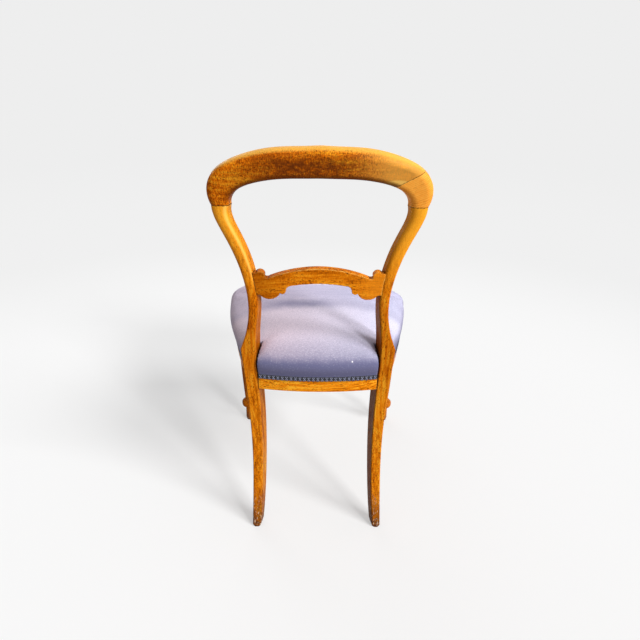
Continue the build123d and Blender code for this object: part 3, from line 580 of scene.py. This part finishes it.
def patch(loops):
    # surface between four edges: the two pairs of edges blended, less the blend of the corners
    back, left, front, right = loops[0], loops[1], loops[2][::-1], loops[3]
    wide, deep = len(back), len(left)
    u = np.linspace(0, 1, wide)[None, :, None]
    v = np.linspace(0, 1, deep)[:, None, None]
    across = back[None] * (1 - v) + front[None] * v
    down = right[:, None] * (1 - u) + left[:, None] * u
    corners = ((1 - v) * ((1 - u) * back[0] + u * back[-1]) + v * ((1 - u) * front[0] + u * front[-1]))
    return across + down - corners


def rim(wide, deep):
    # grid positions of the border, once round: back edge, left edge, front edge, right edge
    index = np.arange(wide * deep).reshape(deep, wide)
    return np.concatenate((index[0, :-1], index[:-1, -1], index[-1, :0:-1], index[:0:-1, 0]))


def loopOf(loops):
    # the four runs as one closed line, in the order of rim
    return np.vstack((loops[0][:-1], loops[1][:-1], loops[2][:-1], loops[3][::-1][:-1]))


def newPiece(name, points, faces, material, smooth=True):
    # a mesh of the points and faces, with its place in the mesh itself
    mesh = bpy.data.meshes.new(name)
    mesh.from_pydata(np.asarray(points, float).tolist(), [], np.asarray(faces).tolist())
    mesh.materials.append(material)
    if smooth:
        mesh.shade_smooth()
    made = bpy.data.objects.new(name, mesh)
    bpy.context.scene.collection.objects.link(made)
    return made


def turnOut(piece):
    # normals made to point outwards
    work = bmesh.new()
    work.from_mesh(piece.data)
    bmesh.ops.remove_doubles(work, verts=work.verts, dist=1e-7)
    bmesh.ops.recalc_face_normals(work, faces=work.faces)
    work.to_mesh(piece.data)
    work.free()


def coordinates(mesh):
    # the points of a mesh, one to a row
    flat = np.empty(len(mesh.vertices) * 3)
    mesh.vertices.foreach_get("co", flat)
    return flat.reshape(-1, 3)


def applyAll(piece):
    # the mesh as its modifiers make it, with the modifiers gone
    graph = bpy.context.evaluated_depsgraph_get()
    mesh = bpy.data.meshes.new_from_object(piece.evaluated_get(graph))
    piece.modifiers.clear()
    piece.data = mesh


def makeVelvet():
    # short pile: pale on top and at the sides' bulge and navy at the skirt as painted light and shade, bluer
    # on the front half, pinker on the left, a dark crease across the middle that is partly a painted shadow,
    # a dark band by the back rail, and speckles
    made, tree, shader, where = newMaterial("velvet")
    place, facing = partsOf(where), facingOf(tree)
    pile = noise(where, (1300.0, 1300.0, 260.0), 2.0, 0.6)
    speckle = noise(where, (280.0, 620.0, 300.0), 3.0, 0.7)
    brushed = noise(where, (26.0, 14.0, 14.0), 3.0)
    streaks = noise(where, (16.0, 240.0, 60.0), 3.0, 0.6)
    # painted light and shade: paler where the pile faces up, lies high or nears the sides, navy low down
    up = plus(facing[2], times(minus(brushed, 0.5), 0.4))
    raised = ramp(place[2], 0.394, 0.487, smooth=False)
    share = plus(times(ramp(up, -0.1, 1.0), 0.5), times(raised, 0.5))
    share = plus(share, ramp(math("ABSOLUTE", place[0]), 0.15, 0.22, 0.0, 0.32))
    low = mixColor(ramp(place[2], 0.388, 0.425), rgb(66, 72, 110), rgb(104, 106, 142))
    top = mixColor(ramp(place[0], -0.2, 0.2), rgb(234, 232, 255), rgb(240, 220, 230))
    blue = ramp(place[1], 0.02, -0.08, 0.0, 0.6)
    # a dark crease across the seat: partly a pressed pile mark, partly a painted shadow
    fromCreaseAndShadow = math("ABSOLUTE", plus(place[1], times(brushed, 0.03)))
    deeper = ramp(distanceFrom(place[0], 0.045), 0.12, 0.03, 0.3, 0.7)
    # pale speckles, painted as glints where the pile is lit
    pale = times(ramp(speckle, 0.46, 0.3, 0.0, 0.35), ramp(share, 0.2, 0.8, 0.25, 1.0))
    fromLint = vectorMath("LENGTH", vectorMath("SUBTRACT", where, lint["place"]))
    color = mixColor(ramp(share, 0.28, 1.02), low, top)
    color = layers(
        color,
        (times(blue, 0.6), rgb(156, 158, 200)),
        (times(ramp(streaks, 0.42, 0.68, 0.0, 0.45), blue), rgb(128, 130, 176)),
        (ramp(place[0], 0.15, 0.2, 0.0, 0.35), rgb(232, 208, 214)),
        (times(ramp(fromCreaseAndShadow, 0.044, 0.0), deeper), rgb(112, 112, 152)),
        (ramp(place[1], 0.12, 0.2, 0.0, 0.4), rgb(104, 104, 136)),
        (ramp(speckle, 0.4, 0.66, 0.0, 0.3), rgb(110, 106, 136)),
        (pale, rgb(248, 240, 248)),
        (ramp(pile, 0.3, 0.7, 0.0, 0.2), rgb(96, 92, 120)),
        (ramp(fromLint, lint["radius"], lint["radius"] / 2), rgb(250, 248, 250)))
    tree.links.new(color, shader.inputs["Base Color"])
    setPlain(shader, rough=0.9, gloss=0.1, sheen=0.5, sheenRough=0.4, sheenTint=rgb(226, 220, 244))
    addBump(tree, shader, 0.5, 0.0006, speckle)
    return made


# Cushion: a crowned pad over the frame, its cover pulled down to a skirt outside the rails.
pad = dict(crown=0.4815, bulgeZ=0.4275, overhang=0.0085, sidePower=3.1, topPower=1.8, skirtTop=0.399,
           skirtGrow=0.0023, gap=0.0003, foldIn=0.012, under=0.4253, wide=72, deep=66, dense=0.55,
           sideSteps=6, skirtSteps=2, pressure=1.0, mass=0.3, quality=5, frames=20, cap=0.006, heldNear=0.001,
           tuck=0.004, tuckReach=0.012, tuckFade=0.02, evening=0.5, evenings=10,
           dents=((0.245, -0.03, 0.11, 0.0055, 0.0, 0.0), (0.17, -0.21, 0.085, 0.0, -0.005, 0.011),
                  (-0.19, 0.12, 0.08, 0.006, 0.0, 0.0)))


def crownHeight(points, outline):
    # superellipse over the share of the way out from the middle of the seat to the outline
    middle = np.array((0, seatMiddle))
    edge = outline - middle
    edgeAngle = np.arctan2(edge[:, 1], edge[:, 0])
    order = np.argsort(edgeAngle)
    away = points - middle
    reach = np.interp(np.arctan2(away[..., 1], away[..., 0]), edgeAngle[order],
                      np.linalg.norm(edge, axis=1)[order], period=2 * pi)
    share = np.clip(np.linalg.norm(away, axis=-1) / reach, 0, 1)
    return (pad["crown"] - pad["bulgeZ"]) * (1 - share ** pad["sidePower"]) ** (1 / pad["topPower"])


def makeCushion(material):
    # top patch, rows of the plan down the sides, in under the skirt, up inside, and a flat underside
    counts = (pad["wide"], pad["deep"])
    loops = seatLoop(pad["overhang"], counts, pad["dense"])
    outline = loopOf(loops)
    top = patch(loops)
    topZ = pad["bulgeZ"] + crownHeight(top, outline)
    border = rim(counts[0] + 1, counts[1] + 1)
    topPoints = np.dstack((top, topZ[..., None])).reshape(-1, 3)
    topPoints[border, 2] = pad["bulgeZ"]
    rows = []
    for step in range(1, pad["sideSteps"] + 1):
        share = 1 - step / pad["sideSteps"]
        drawn = (pad["overhang"] - pad["skirtGrow"]) * (1 - share) ** 2
        rows.append((pad["skirtTop"] + (pad["bulgeZ"] - pad["skirtTop"]) * share, pad["overhang"] - drawn))
    for step in range(1, pad["skirtSteps"] + 1):
        drop = (seat["coverLow"] - pad["skirtTop"]) * step / pad["skirtSteps"]
        rows.append((pad["skirtTop"] + drop, pad["skirtGrow"]))
    rows.append((seat["coverLow"], pad["gap"]))
    rows.append((seat["railTop"] - pad["foldIn"], pad["gap"]))
    rings = [np.column_stack((loopOf(seatLoop(grow, counts, pad["dense"])), np.full(len(outline), z)))
             for z, grow in rows]
    inner = patch(seatLoop(pad["gap"], counts, pad["dense"]))
    underPoints = np.dstack((inner, np.full(inner.shape[:2], pad["under"])[..., None])).reshape(-1, 3)
    points = pressIn(np.vstack((topPoints, *rings, underPoints)))
    around = len(outline)
    faces = [gridFaces(counts[0] + 1, counts[1] + 1, 0)]
    underStart = len(topPoints) + len(rings) * around
    ringIndex = [border] + [len(topPoints) + at * around + np.arange(around) for at in range(len(rings))]
    ringIndex.append(underStart + border)
    for upper, lower in zip(ringIndex[:-1], ringIndex[1:]):
        faces.append(np.column_stack((upper, np.roll(upper, -1), np.roll(lower, -1), lower)))
    faces.append(gridFaces(counts[0] + 1, counts[1] + 1, underStart)[:, ::-1])
    piece = newPiece("velvet_cushion", points, np.vstack(faces), material)
    low = np.arange(len(points)) >= len(topPoints) + (pad["sideSteps"] - 1) * around
    return piece, low | (legDistance(points) < pad["heldNear"])


def pressIn(points):
    # soft dents and bulges of an old seat: each a shift that fades as a bell curve of the distance in plan
    above = np.clip((points[:, 2] - pad["skirtTop"]) / (pad["bulgeZ"] - pad["skirtTop"]), 0, 1)
    moved = points.copy()
    for x, y, reach, *shift in pad["dents"]:
        bell = np.exp(-((points[:, 0] - x) ** 2 + (points[:, 1] - y) ** 2) / reach ** 2) * above
        moved += bell[:, None] * np.array(shift)
    return moved


def gridFaces(wide, deep, start):
    # a square face between every four neighbours of a grid
    index = start + np.arange(wide * deep).reshape(deep, wide)
    corners = (index[:-1, :-1], index[1:, :-1], index[1:, 1:], index[:-1, 1:])
    return np.column_stack([corner.ravel() for corner in corners])


def puffUp(piece, held):
    # cloth with air in it: the skirt and the underside are held, and no point moves past the cap
    rest = coordinates(piece.data)
    group = piece.vertex_groups.new(name="held")
    group.add(np.flatnonzero(held).tolist(), 1.0, "REPLACE")
    cloth = piece.modifiers.new("cloth", "CLOTH")
    settings = cloth.settings
    settings.use_pressure = True
    settings.uniform_pressure_force = pad["pressure"]
    settings.effector_weights.gravity = 0.0
    settings.vertex_group_mass = "held"
    settings.quality = pad["quality"]
    settings.mass = pad["mass"]
    cloth.collision_settings.use_collision = False
    scene = bpy.context.scene
    for at in range(1, pad["frames"] + 1):
        scene.frame_set(at)
    graph = bpy.context.evaluated_depsgraph_get()
    moved = coordinates(piece.evaluated_get(graph).data) - rest
    far = np.linalg.norm(moved, axis=1, keepdims=True)
    moved *= np.minimum(1.0, pad["cap"] / np.maximum(far, 1e-9))
    piece.modifiers.clear()
    piece.vertex_groups.clear()
    piece.data.vertices.foreach_set("co", (rest + moved).ravel())
    piece.data.update()
    scene.frame_set(1)
    print("cushion puffed, furthest point moved", round(float(far.max()) * 1000, 1), "mm")


legRoom = dict(gap=0.001, past=0.06, low=0.36, high=0.52)  # the blocks that cut room for the back legs


def legNotch():
    # block round a back leg, canted as the leg's inner side is, for both sides
    gap, low, high = legRoom["gap"], legRoom["low"], legRoom["high"]
    front, rear = seat["legFront"] - gap, seat["legRear"] + legRoom["past"]
    inner, outer = seat["legInner"] - gap, seat["blockOuter"] + legRoom["past"]
    canted = inner + (rear - front) * seat["cant"]
    plan = np.array(((inner, front), (canted, rear), (outer, rear), (outer, front)))
    both = [np.column_stack((plan * (side, 1), np.full(4, z))) for side in (1, -1) for z in (low, high)]
    faces = []
    for start in (0, 8):
        faces += [[start + at for at in quad] for quad in
                  ((3, 2, 1, 0), (4, 5, 6, 7), (0, 1, 5, 4), (1, 2, 6, 5), (2, 3, 7, 6), (3, 0, 4, 7))]
    return np.vstack(both), faces


def cutLegs(piece):
    # room for the back legs is cut out of a soft piece
    points, faces = legNotch()
    cutter = newPiece("legRoom", points, faces, piece.data.materials[0], smooth=False)
    turnOut(cutter)
    cut = piece.modifiers.new("legs", "BOOLEAN")
    cut.operation = "DIFFERENCE"
    cut.solver = "FAST"
    cut.object = cutter
    applyAll(piece)
    bpy.data.objects.remove(cutter)


def legDistance(points):
    # how far a point lies from the room of the nearer back leg, and 0 inside it
    toFront = seat["legFront"] - points[:, 1]
    toInner = seat["legInner"] + (points[:, 1] - seat["legFront"]) * seat["cant"] - np.abs(points[:, 0])
    return np.maximum(np.maximum(toFront, toInner), 0)


def tuckLegs(piece):
    # the cover dips towards the back legs, more the nearer it lies
    points = coordinates(piece.data)
    dip = pad["tuck"] * np.exp(-legDistance(points) / pad["tuckReach"])
    points[:, 2] -= dip * np.clip((points[:, 2] - pad["bulgeZ"]) / pad["tuckFade"], 0, 1)
    piece.data.vertices.foreach_set("co", points.ravel())


lint = dict(place=(-0.0757, 0.199, 0.4355), radius=0.0022)  # a speck of white fluff
velvet = makeVelvet()
cushion, heldPoints = makeCushion(velvet)
freePoints = np.flatnonzero(~heldPoints).tolist()
puffUp(cushion, heldPoints)
cushion.vertex_groups.new(name="free").add(freePoints, 1.0, "REPLACE")
evened = cushion.modifiers.new("evened", "SMOOTH")
evened.factor, evened.iterations = pad["evening"], pad["evenings"]
evened.vertex_group = "free"
finer = cushion.modifiers.new("finer", "SUBSURF")
finer.levels = finer.render_levels = 1
applyAll(cushion)
tuckLegs(cushion)
cutLegs(cushion)
cushion.data.shade_smooth()
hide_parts("seat_cover", "stuffing")
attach(cushion, "root")
print("cushion made, faces:", len(cushion.data.polygons))


# Weave: threads that pass over and under each other, as squares of two ridges in turn.
def makeWeaveGroup():
    group, given, out = newGroup("weave", [
        ("Vector", "Vector", None), ("Pitch", "Float", 0.0015), ("Slant", "Float", 0.0),
    ], [("Height", "Float"), ("Shade", "Float")])
    wobble = times(minus(noise(given["Vector"], 90.0, 2.0), 0.5), 0.0012)
    place = partsOf(given["Vector"])
    across = math("DIVIDE", plus(place[0], wobble), given["Pitch"])
    zigzag = times(math("PINGPONG", across, 6.0), given["Slant"])
    down = plus(math("DIVIDE", plus(place[1], wobble), given["Pitch"]), zigzag)
    warp = math("ABSOLUTE", math("SINE", times(across, pi)))
    weft = math("ABSOLUTE", math("SINE", times(down, pi)))
    turn = plus(math("FLOOR", across), math("FLOOR", down))
    over = math("GREATER_THAN", math("FRACT", times(turn, 0.5)), 0.25)
    height = plus(times(warp, over),
                  times(weft, minus(1.0, over)))
    slub = noise(given["Vector"], (120.0, 700.0, 120.0), 3.0)
    group.links.new(height, out["Height"])
    shade = times(ramp(height, 0.1, 0.8, 0.35, 1.0), ramp(slub, 0.3, 0.7, 0.7, 1.1))
    group.links.new(shade, out["Shade"])
    return group


weave = makeWeaveGroup()


def makeCloth(name, cloth):
    # woven jute: dark between its threads, stripes along it where it has them
    made, tree, shader, where = newMaterial(name)
    turned = addNode(tree, "Mapping", {"Vector": where, "Rotation": (0.0, 0.0, cloth["turn"])})
    woven = placeGroup(tree, weave, {
        "Vector": turned.outputs[0], "Pitch": cloth["pitch"], "Slant": cloth["slant"]})
    blotch = noise(where, 24.0, 4.0)
    color = mixColor(ramp(blotch, 0.3, 0.7), cloth["first"], cloth["second"])
    color = mixColor(woven["Shade"], cloth["gap"], color)
    tree.links.new(color, shader.inputs["Base Color"])
    setPlain(shader, rough=0.92, gloss=0.15)
    addBump(tree, shader, 0.7, 0.0005, woven["Height"])
    return made


def closedSheet(upper, lower):
    # two surfaces on the same grid, joined along their borders
    rows, columns = upper.shape[:2]
    border = rim(columns, rows)
    faces = [gridFaces(columns, rows, 0), gridFaces(columns, rows, rows * columns)[:, ::-1]]
    beneath = border + rows * columns
    faces.append(np.column_stack((border, np.roll(border, -1), np.roll(beneath, -1), beneath)))
    return np.vstack((upper.reshape(-1, 3), lower.reshape(-1, 3))), np.vstack(faces)


def joinedPiece(name, parts, material):
    # several closed sheets as one object
    starts = np.cumsum([0] + [len(own) for own, faces in parts])
    points = np.vstack([own for own, faces in parts])
    faces = np.vstack([faces + start for (own, faces), start in zip(parts, starts)])
    piece = newPiece(name, points, faces, material)
    turnOut(piece)
    return piece


# Braid: a ribbon along the foot of the cover, scalloped, with two cords that cross in loops.
gimp = dict(low=0.3862, high=0.3968, back=0.00235, thin=0.0007, cord=0.0012, pitch=0.0098, scallop=0.0007,
            swing=0.27, cordWidth=0.12, edgeWidth=0.09, perLoop=12, across=14, legGap=0.001)


def braidPath(line, side):
    # even steps along a line, the way out from it, square to the line, and the count of loops so far
    length = np.linalg.norm(np.diff(line, axis=0), axis=1).sum()
    loops = max(1, round(float(length) / gimp["pitch"]))
    shares = np.linspace(0, 1, loops * gimp["perLoop"] + 1)
    path = along(line, shares)
    run = np.gradient(path, axis=0)
    outwards = np.column_stack((run[:, 1], -run[:, 0])) * side
    return path, outwards / np.linalg.norm(outwards, axis=1, keepdims=True), shares * loops


def makeBraid(name, line, side, material):
    # height over the cover: edge cords, and two waves of opposite swing round the middle
    path, outwards, turns = braidPath(line, side)
    v = np.linspace(0, 1, gimp["across"])[None]
    q = turns[:, None]
    wave = gimp["swing"] * np.sin(2 * pi * q)

    def cordAt(centre, width):
        return np.exp(-((v - centre) / width) ** 2)

    ridge = np.maximum(cordAt(0.5 + wave, gimp["cordWidth"]), cordAt(0.5 - wave, gimp["cordWidth"]))
    twist = 0.7 + 0.3 * np.abs(np.sin(4 * pi * q))
    edges = np.maximum(cordAt(0.06, gimp["edgeWidth"]), cordAt(0.94, gimp["edgeWidth"])) * twist
    relief = np.maximum(ridge, edges * 0.8) * (0.25 + 0.75 * np.abs(np.sin(pi * q)) ** 0.8)
    depth = gimp["back"] + gimp["thin"] + gimp["cord"] * relief
    middle, half = (gimp["low"] + gimp["high"]) / 2, (gimp["high"] - gimp["low"]) / 2
    height = middle + (2 * v - 1) * (half + gimp["scallop"] * (np.abs(np.sin(pi * q)) - 0.5))
    flatHeight = np.broadcast_to(height, relief.shape)

    def surface(out):
        plan = path[:, None] + outwards[:, None] * out[..., None]
        return np.dstack((plan, flatHeight[..., None]))

    points, faces = closedSheet(surface(depth), surface(np.full_like(depth, gimp["back"])))
    piece = newPiece(name, points, faces, material)
    layer = piece.data.attributes.new("relief", "FLOAT", "POINT")
    layer.data.foreach_set("value", np.concatenate((relief.ravel(), np.zeros(relief.size))))
    turnOut(piece)
    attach(piece, "root")
    return piece


def makeBraidMaterial():
    # navy thread, paler on the raised cords and near black between them: painted highlight and painted shade
    made, tree, shader, where = newMaterial("navyBraid")
    raised = addNode(tree, "Attribute", attribute_name="relief").outputs["Fac"]
    thread = noise(where, (2200.0, 2200.0, 1400.0), 2.0)
    color = mixColor(ramp(raised, 0.45, 0.95), rgb(4, 6, 16), rgb(184, 188, 222))
    color = mixColor(ramp(thread, 0.4, 0.7, 0.0, 0.3), color, rgb(30, 32, 56))
    tree.links.new(color, shader.inputs["Base Color"])
    setPlain(shader, rough=0.75, sheen=0.2)
    addBump(tree, shader, 0.5, 0.0004, thread)
    return made


def insideLegs(line):
    # the part of a line between the back legs
    inner = seat["legInner"] + (line[:, 1] - seat["legFront"]) * seat["cant"] - gimp["legGap"]
    return line[np.abs(line[:, 0]) < inner]


braidMaterial = makeBraidMaterial()
backRun, sideRun, frontRun = seatSides(0.0)
backLine = np.vstack((mirrored(backRun)[::-1], backRun[1:]))
backLine = insideLegs(along(backLine, np.linspace(0, 1, 1200)))
halfLine = np.vstack((sideRun, frontRun[1:]))
frontLine = np.vstack((halfLine, mirrored(halfLine)[::-1][1:]))
frontLine = along(frontLine, np.linspace(0, 1, 4000))
frontLine = frontLine[frontLine[:, 1] < seat["legFront"] - gimp["legGap"]]
rearBraid = makeBraid("braid_rear", backLine, -1, braidMaterial)
frontBraid = makeBraid("braid_front", frontLine, -1, braidMaterial)
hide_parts("rear_braid")
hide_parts("front_braid")
print("braids made, faces:", len(rearBraid.data.polygons) + len(frontBraid.data.polygons))

# Webbing: strips that pass over and under each other, and lie on the rails at their ends.
strap = dict(width=0.048, thick=0.0013, level=0.4225, step=0.00075, edge=0.005, plateau=4.6,
             frontSpacing=0.08, rearSpacing=0.048, rowStart=-0.165, rowStep=0.06, count=5, railWide=0.036,
             railFade=0.012, along=140, across=9)


def frontEdge(x):
    # parabola of the front rail's bow, less the strip's edge
    return seat["blockFront"] - seat["frontBow"] * (1 - (x / seat["blockInner"]) ** 2) + strap["edge"]


def rearEdge(x):
    # parabola of the back rail's bow, less the strip's edge
    return seat["legRear"] + seat["rearBow"] * (1 - (x / rearHalf) ** 2) - strap["edge"]


def sideEdge(y):
    # straight line between the ends of the side rail, plus its bow
    share = (seat["legFront"] - y) / (seat["legFront"] - seat["blockBack"])
    straight = seat["railRear"] + (seat["blockOuter"] - seat["railRear"]) * share
    return straight + 4 * seat["sideBow"] * share * (1 - share) - strap["edge"]


def columnSpacing(y):
    # straight line between the spacings at the front and at the back
    share = (y - frontEdge(0.0)) / (rearEdge(0.0) - frontEdge(0.0))
    return strap["frontSpacing"] + (strap["rearSpacing"] - strap["frontSpacing"]) * share


def overUnder(turns):
    # 1 over a strip, -1 under the next, with a short slope between
    return np.sin(pi / 2 * np.clip(np.cos(pi * turns) * strap["plateau"], -1, 1))


def strip(x, y, lift, toEnd):
    # a strip's two faces; lift is 1 for over and -1 for under, and the ends lie low on the rails
    low = np.clip((strap["railWide"] - toEnd) / strap["railFade"], 0, 1)
    middle = strap["level"] + strap["step"] * (lift * (1 - low) - low)
    half = strap["thick"] / 2
    return closedSheet(np.dstack((x, y, middle + half)), np.dstack((x, y, middle - half)))


def makeWebbing():
    # five strips each way: a strip is a straight band whose height follows overUnder at each crossing
    u = np.linspace(0, 1, strap["along"])[:, None]
    v = (np.linspace(0, 1, strap["across"])[None] - 0.5) * strap["width"]
    columns, rows = [], []
    for at in range(strap["count"]):
        order = at - (strap["count"] - 1) // 2
        sign = -1 if at % 2 else 1
        first, last = order * strap["frontSpacing"] + v, order * strap["rearSpacing"] + v
        y = frontEdge(first) * (1 - u) + rearEdge(last) * u
        x = first * (1 - u) + last * u
        lift = -sign * overUnder((y - strap["rowStart"]) / strap["rowStep"])
        toEnd = np.minimum(y - frontEdge(first), rearEdge(last) - y)
        columns.append(strip(x, y, lift, toEnd))
        y = strap["rowStart"] + at * strap["rowStep"] + v + 0 * u
        reach = sideEdge(y)
        x = reach * (2 * u - 1)
        lift = sign * overUnder(x / columnSpacing(y))
        rows.append(strip(x, y, lift, reach - np.abs(x)))
    return columns, rows


def sheetArea(piece):
    # half the surface, edges included
    return sum(face.area for face in piece.data.polygons) / 2


# The flat lengths below, and the hessian's area, were fitted to the area measured on the pieces, which
# counts the strips' edges. Along the strips the mean is 0.433 and 0.421 m, and the hessian is 0.476 x 0.446 m
# with 0.174 m2.
jute = dict(first=rgb(196, 170, 126), second=rgb(174, 146, 102), gap=rgb(96, 74, 46), pitch=0.0016,
            slant=1.0, turn=0.0)
columns, rows = makeWebbing()
for name, parts, node, turn, length in (("webbing_deep", columns, "webbing_front_to_back", 0.0, 0.446),
                                        ("webbing_wide", rows, "webbing_side_to_side", pi / 2, 0.434)):
    webbing = joinedPiece(name, parts, makeCloth(name + "Jute", dict(jute, turn=turn)))
    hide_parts(node)
    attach(webbing, "root")
    print(name, "area", round(sheetArea(webbing), 4))

# Hessian: a sheet over the webbing, cut out round the legs.
sack = dict(low=0.4242, high=0.4250, inset=-0.003, wide=40, deep=36, flat=(0.476, 0.443), area=0.1748)
hessianPlan = patch(seatLoop(sack["inset"], (sack["wide"], sack["deep"]), 0.0))
hessianFaces = [np.dstack((hessianPlan, np.full(hessianPlan.shape[:2], z)[..., None]))
                for z in (sack["high"], sack["low"])]
sackCloth = dict(jute, first=rgb(168, 132, 84), second=rgb(146, 110, 66), gap=rgb(70, 48, 26),
                 pitch=0.0022, slant=0.0)
hessian = joinedPiece("hessian_sheet", [closedSheet(*hessianFaces)], makeCloth("hessianCloth", sackCloth))
cutLegs(hessian)
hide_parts("hessian")
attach(hessian, "root")
print("hessian area", round(sheetArea(hessian), 4))
print("webbing and hessian made")

# Screws: low domed heads with a slot, two in the slanted face of each brace.
screw = dict(radius=0.0043, dome=0.0007, slotHalf=0.12, slotDeep=0.0008, sink=0.0015, apart=0.021,
             height=0.398, count=15, frontCorner=(0.215, -0.2078), rearCorner=(0.1402, 0.160), side=0.080)


def makeScrew(place, out):
    # a square grid drawn into a disc; a dome less a groove along one line of the grid
    slotEdges = screw["slotHalf"] * np.array((-1.1, -1, 1, 1.1))
    lines = np.sort(np.concatenate((np.linspace(-1, 1, screw["count"]), slotEdges)))
    u, v = np.meshgrid(lines, lines)
    x, y = u * np.sqrt(1 - v ** 2 / 2), v * np.sqrt(1 - u ** 2 / 2)
    groove = (np.abs(v) < screw["slotHalf"] * 1.05) * screw["slotDeep"]
    top = screw["dome"] * (1 - x ** 2 - y ** 2) - groove
    sideways, upwards, out = np.array((-out[1], out[0], 0)), np.array((0, 0, 1)), np.array((*out, 0))
    flat = np.array(place) + (x[..., None] * sideways + y[..., None] * upwards) * screw["radius"]
    return closedSheet(flat + top[..., None] * out, flat - screw["sink"] * out)


def makeScrews():
    # two screws to a brace, either side of the middle of its slanted face, and the same mirrored in X
    parts = []
    for corner, back in ((screw["frontCorner"], -1), (screw["rearCorner"], 1)):
        middle = np.array((corner[0] - screw["side"] / 2, corner[1] - back * screw["side"] / 2))
        out = np.array((-1, -back)) / np.sqrt(2)
        for shift in (-screw["apart"], screw["apart"]):
            for mirror in (1, -1):
                plan = (middle + np.array((-out[1], out[0])) * shift) * (mirror, 1)
                parts.append(makeScrew((*plan, screw["height"]), out * (mirror, 1)))
    made, tree, shader, where = newMaterial("steelScrew")
    stain = noise(where, 900.0, 3.0)
    rusty = mixColor(ramp(stain, 0.4, 0.65), rgb(150, 142, 130), rgb(92, 70, 52))
    tree.links.new(rusty, shader.inputs["Base Color"])
    tree.links.new(ramp(stain, 0.4, 0.65, 1.0, 0.2), shader.inputs["Metallic"])
    tree.links.new(ramp(stain, 0.4, 0.65, 0.35, 0.7), shader.inputs["Roughness"])
    screws = joinedPiece("brace_screws", parts, made)
    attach(screws, "root")
    return screws


makeScrews()
print("screws made")


# Studio: a pale floor, a plain backdrop and soft suns.
studio = dict(floor=rgb(248, 248, 248), bounce=rgb(150, 140, 130), far=rgb(240, 240, 240),
              back=rgb(238, 238, 238), reach=60.0, rings=40, around=48, lift=0.45, near=1.1, away=2.6,
              suns=((2.05, 0.22, (-0.56, 0.72, 0.40)), (2.05, 0.34, (-0.70, 0.39, 0.60)),
                    (0.8, 0.9, (0.3, -0.9, 0.3))),  # strength, angle and direction: seat, floor, front
              worldPower=0.34)


def makeStudio():
    # a round floor; far away its colour passes into that of the background, as the camera sees it
    radius = studio["reach"] * np.linspace(0, 1, studio["rings"])[:, None] ** 2
    angle = np.linspace(0, 2 * pi, studio["around"])[None]
    points = np.dstack((radius * np.cos(angle), radius * np.sin(angle), 0 * radius * angle)).reshape(-1, 3)
    made, tree, shader, where = newMaterial("paperFloor")
    shown = seenRays(tree)
    tree.links.new(mixColor(shown, studio["bounce"], studio["floor"]), shader.inputs["Base Color"])
    setPlain(shader, rough=1.0, gloss=0.0)
    away = vectorMath("LENGTH", where)
    distant = ramp(away, studio["away"], studio["away"] * 3)
    paper = mixColor(distant, studio["far"], studio["back"])
    glow = addNode(tree, "Emission", {"Color": paper})
    share = times(ramp(away, studio["near"], studio["away"], studio["lift"], 1.0), shown)
    mixed = addNode(tree, "MixShader", {0: share, 1: shader.outputs[0], 2: glow.outputs[0]})
    tree.links.new(mixed.outputs[0], tree.nodes["Material Output"].inputs["Surface"])
    floor = newPiece("paperFloor", points, gridFaces(studio["around"], studio["rings"], 0), made)
    for power, width, toLight in studio["suns"]:
        sun = bpy.data.lights.new("sun", "SUN")
        sun.energy, sun.angle = power, width
        lamp = bpy.data.objects.new("sun", sun)
        lamp.rotation_mode = "QUATERNION"
        lamp.rotation_quaternion = Vector(toLight).to_track_quat("Z", "Y")
        bpy.context.scene.collection.objects.link(lamp)
    world = bpy.data.worlds.new("studio")
    world.use_nodes = True
    air = world.node_tree
    shown = seenRays(air)
    back = air.nodes["Background"]
    air.links.new(mixColor(shown, (1.0, 1.0, 1.0, 1.0), studio["back"]), back.inputs["Color"])
    strength = ramp(shown, 0.0, 1.0, studio["worldPower"], 1.0, smooth=False)
    air.links.new(strength, back.inputs["Strength"])
    bpy.context.scene.world = world
    bpy.context.scene.view_settings.view_transform = "Standard"


makeStudio()
print("studio made")
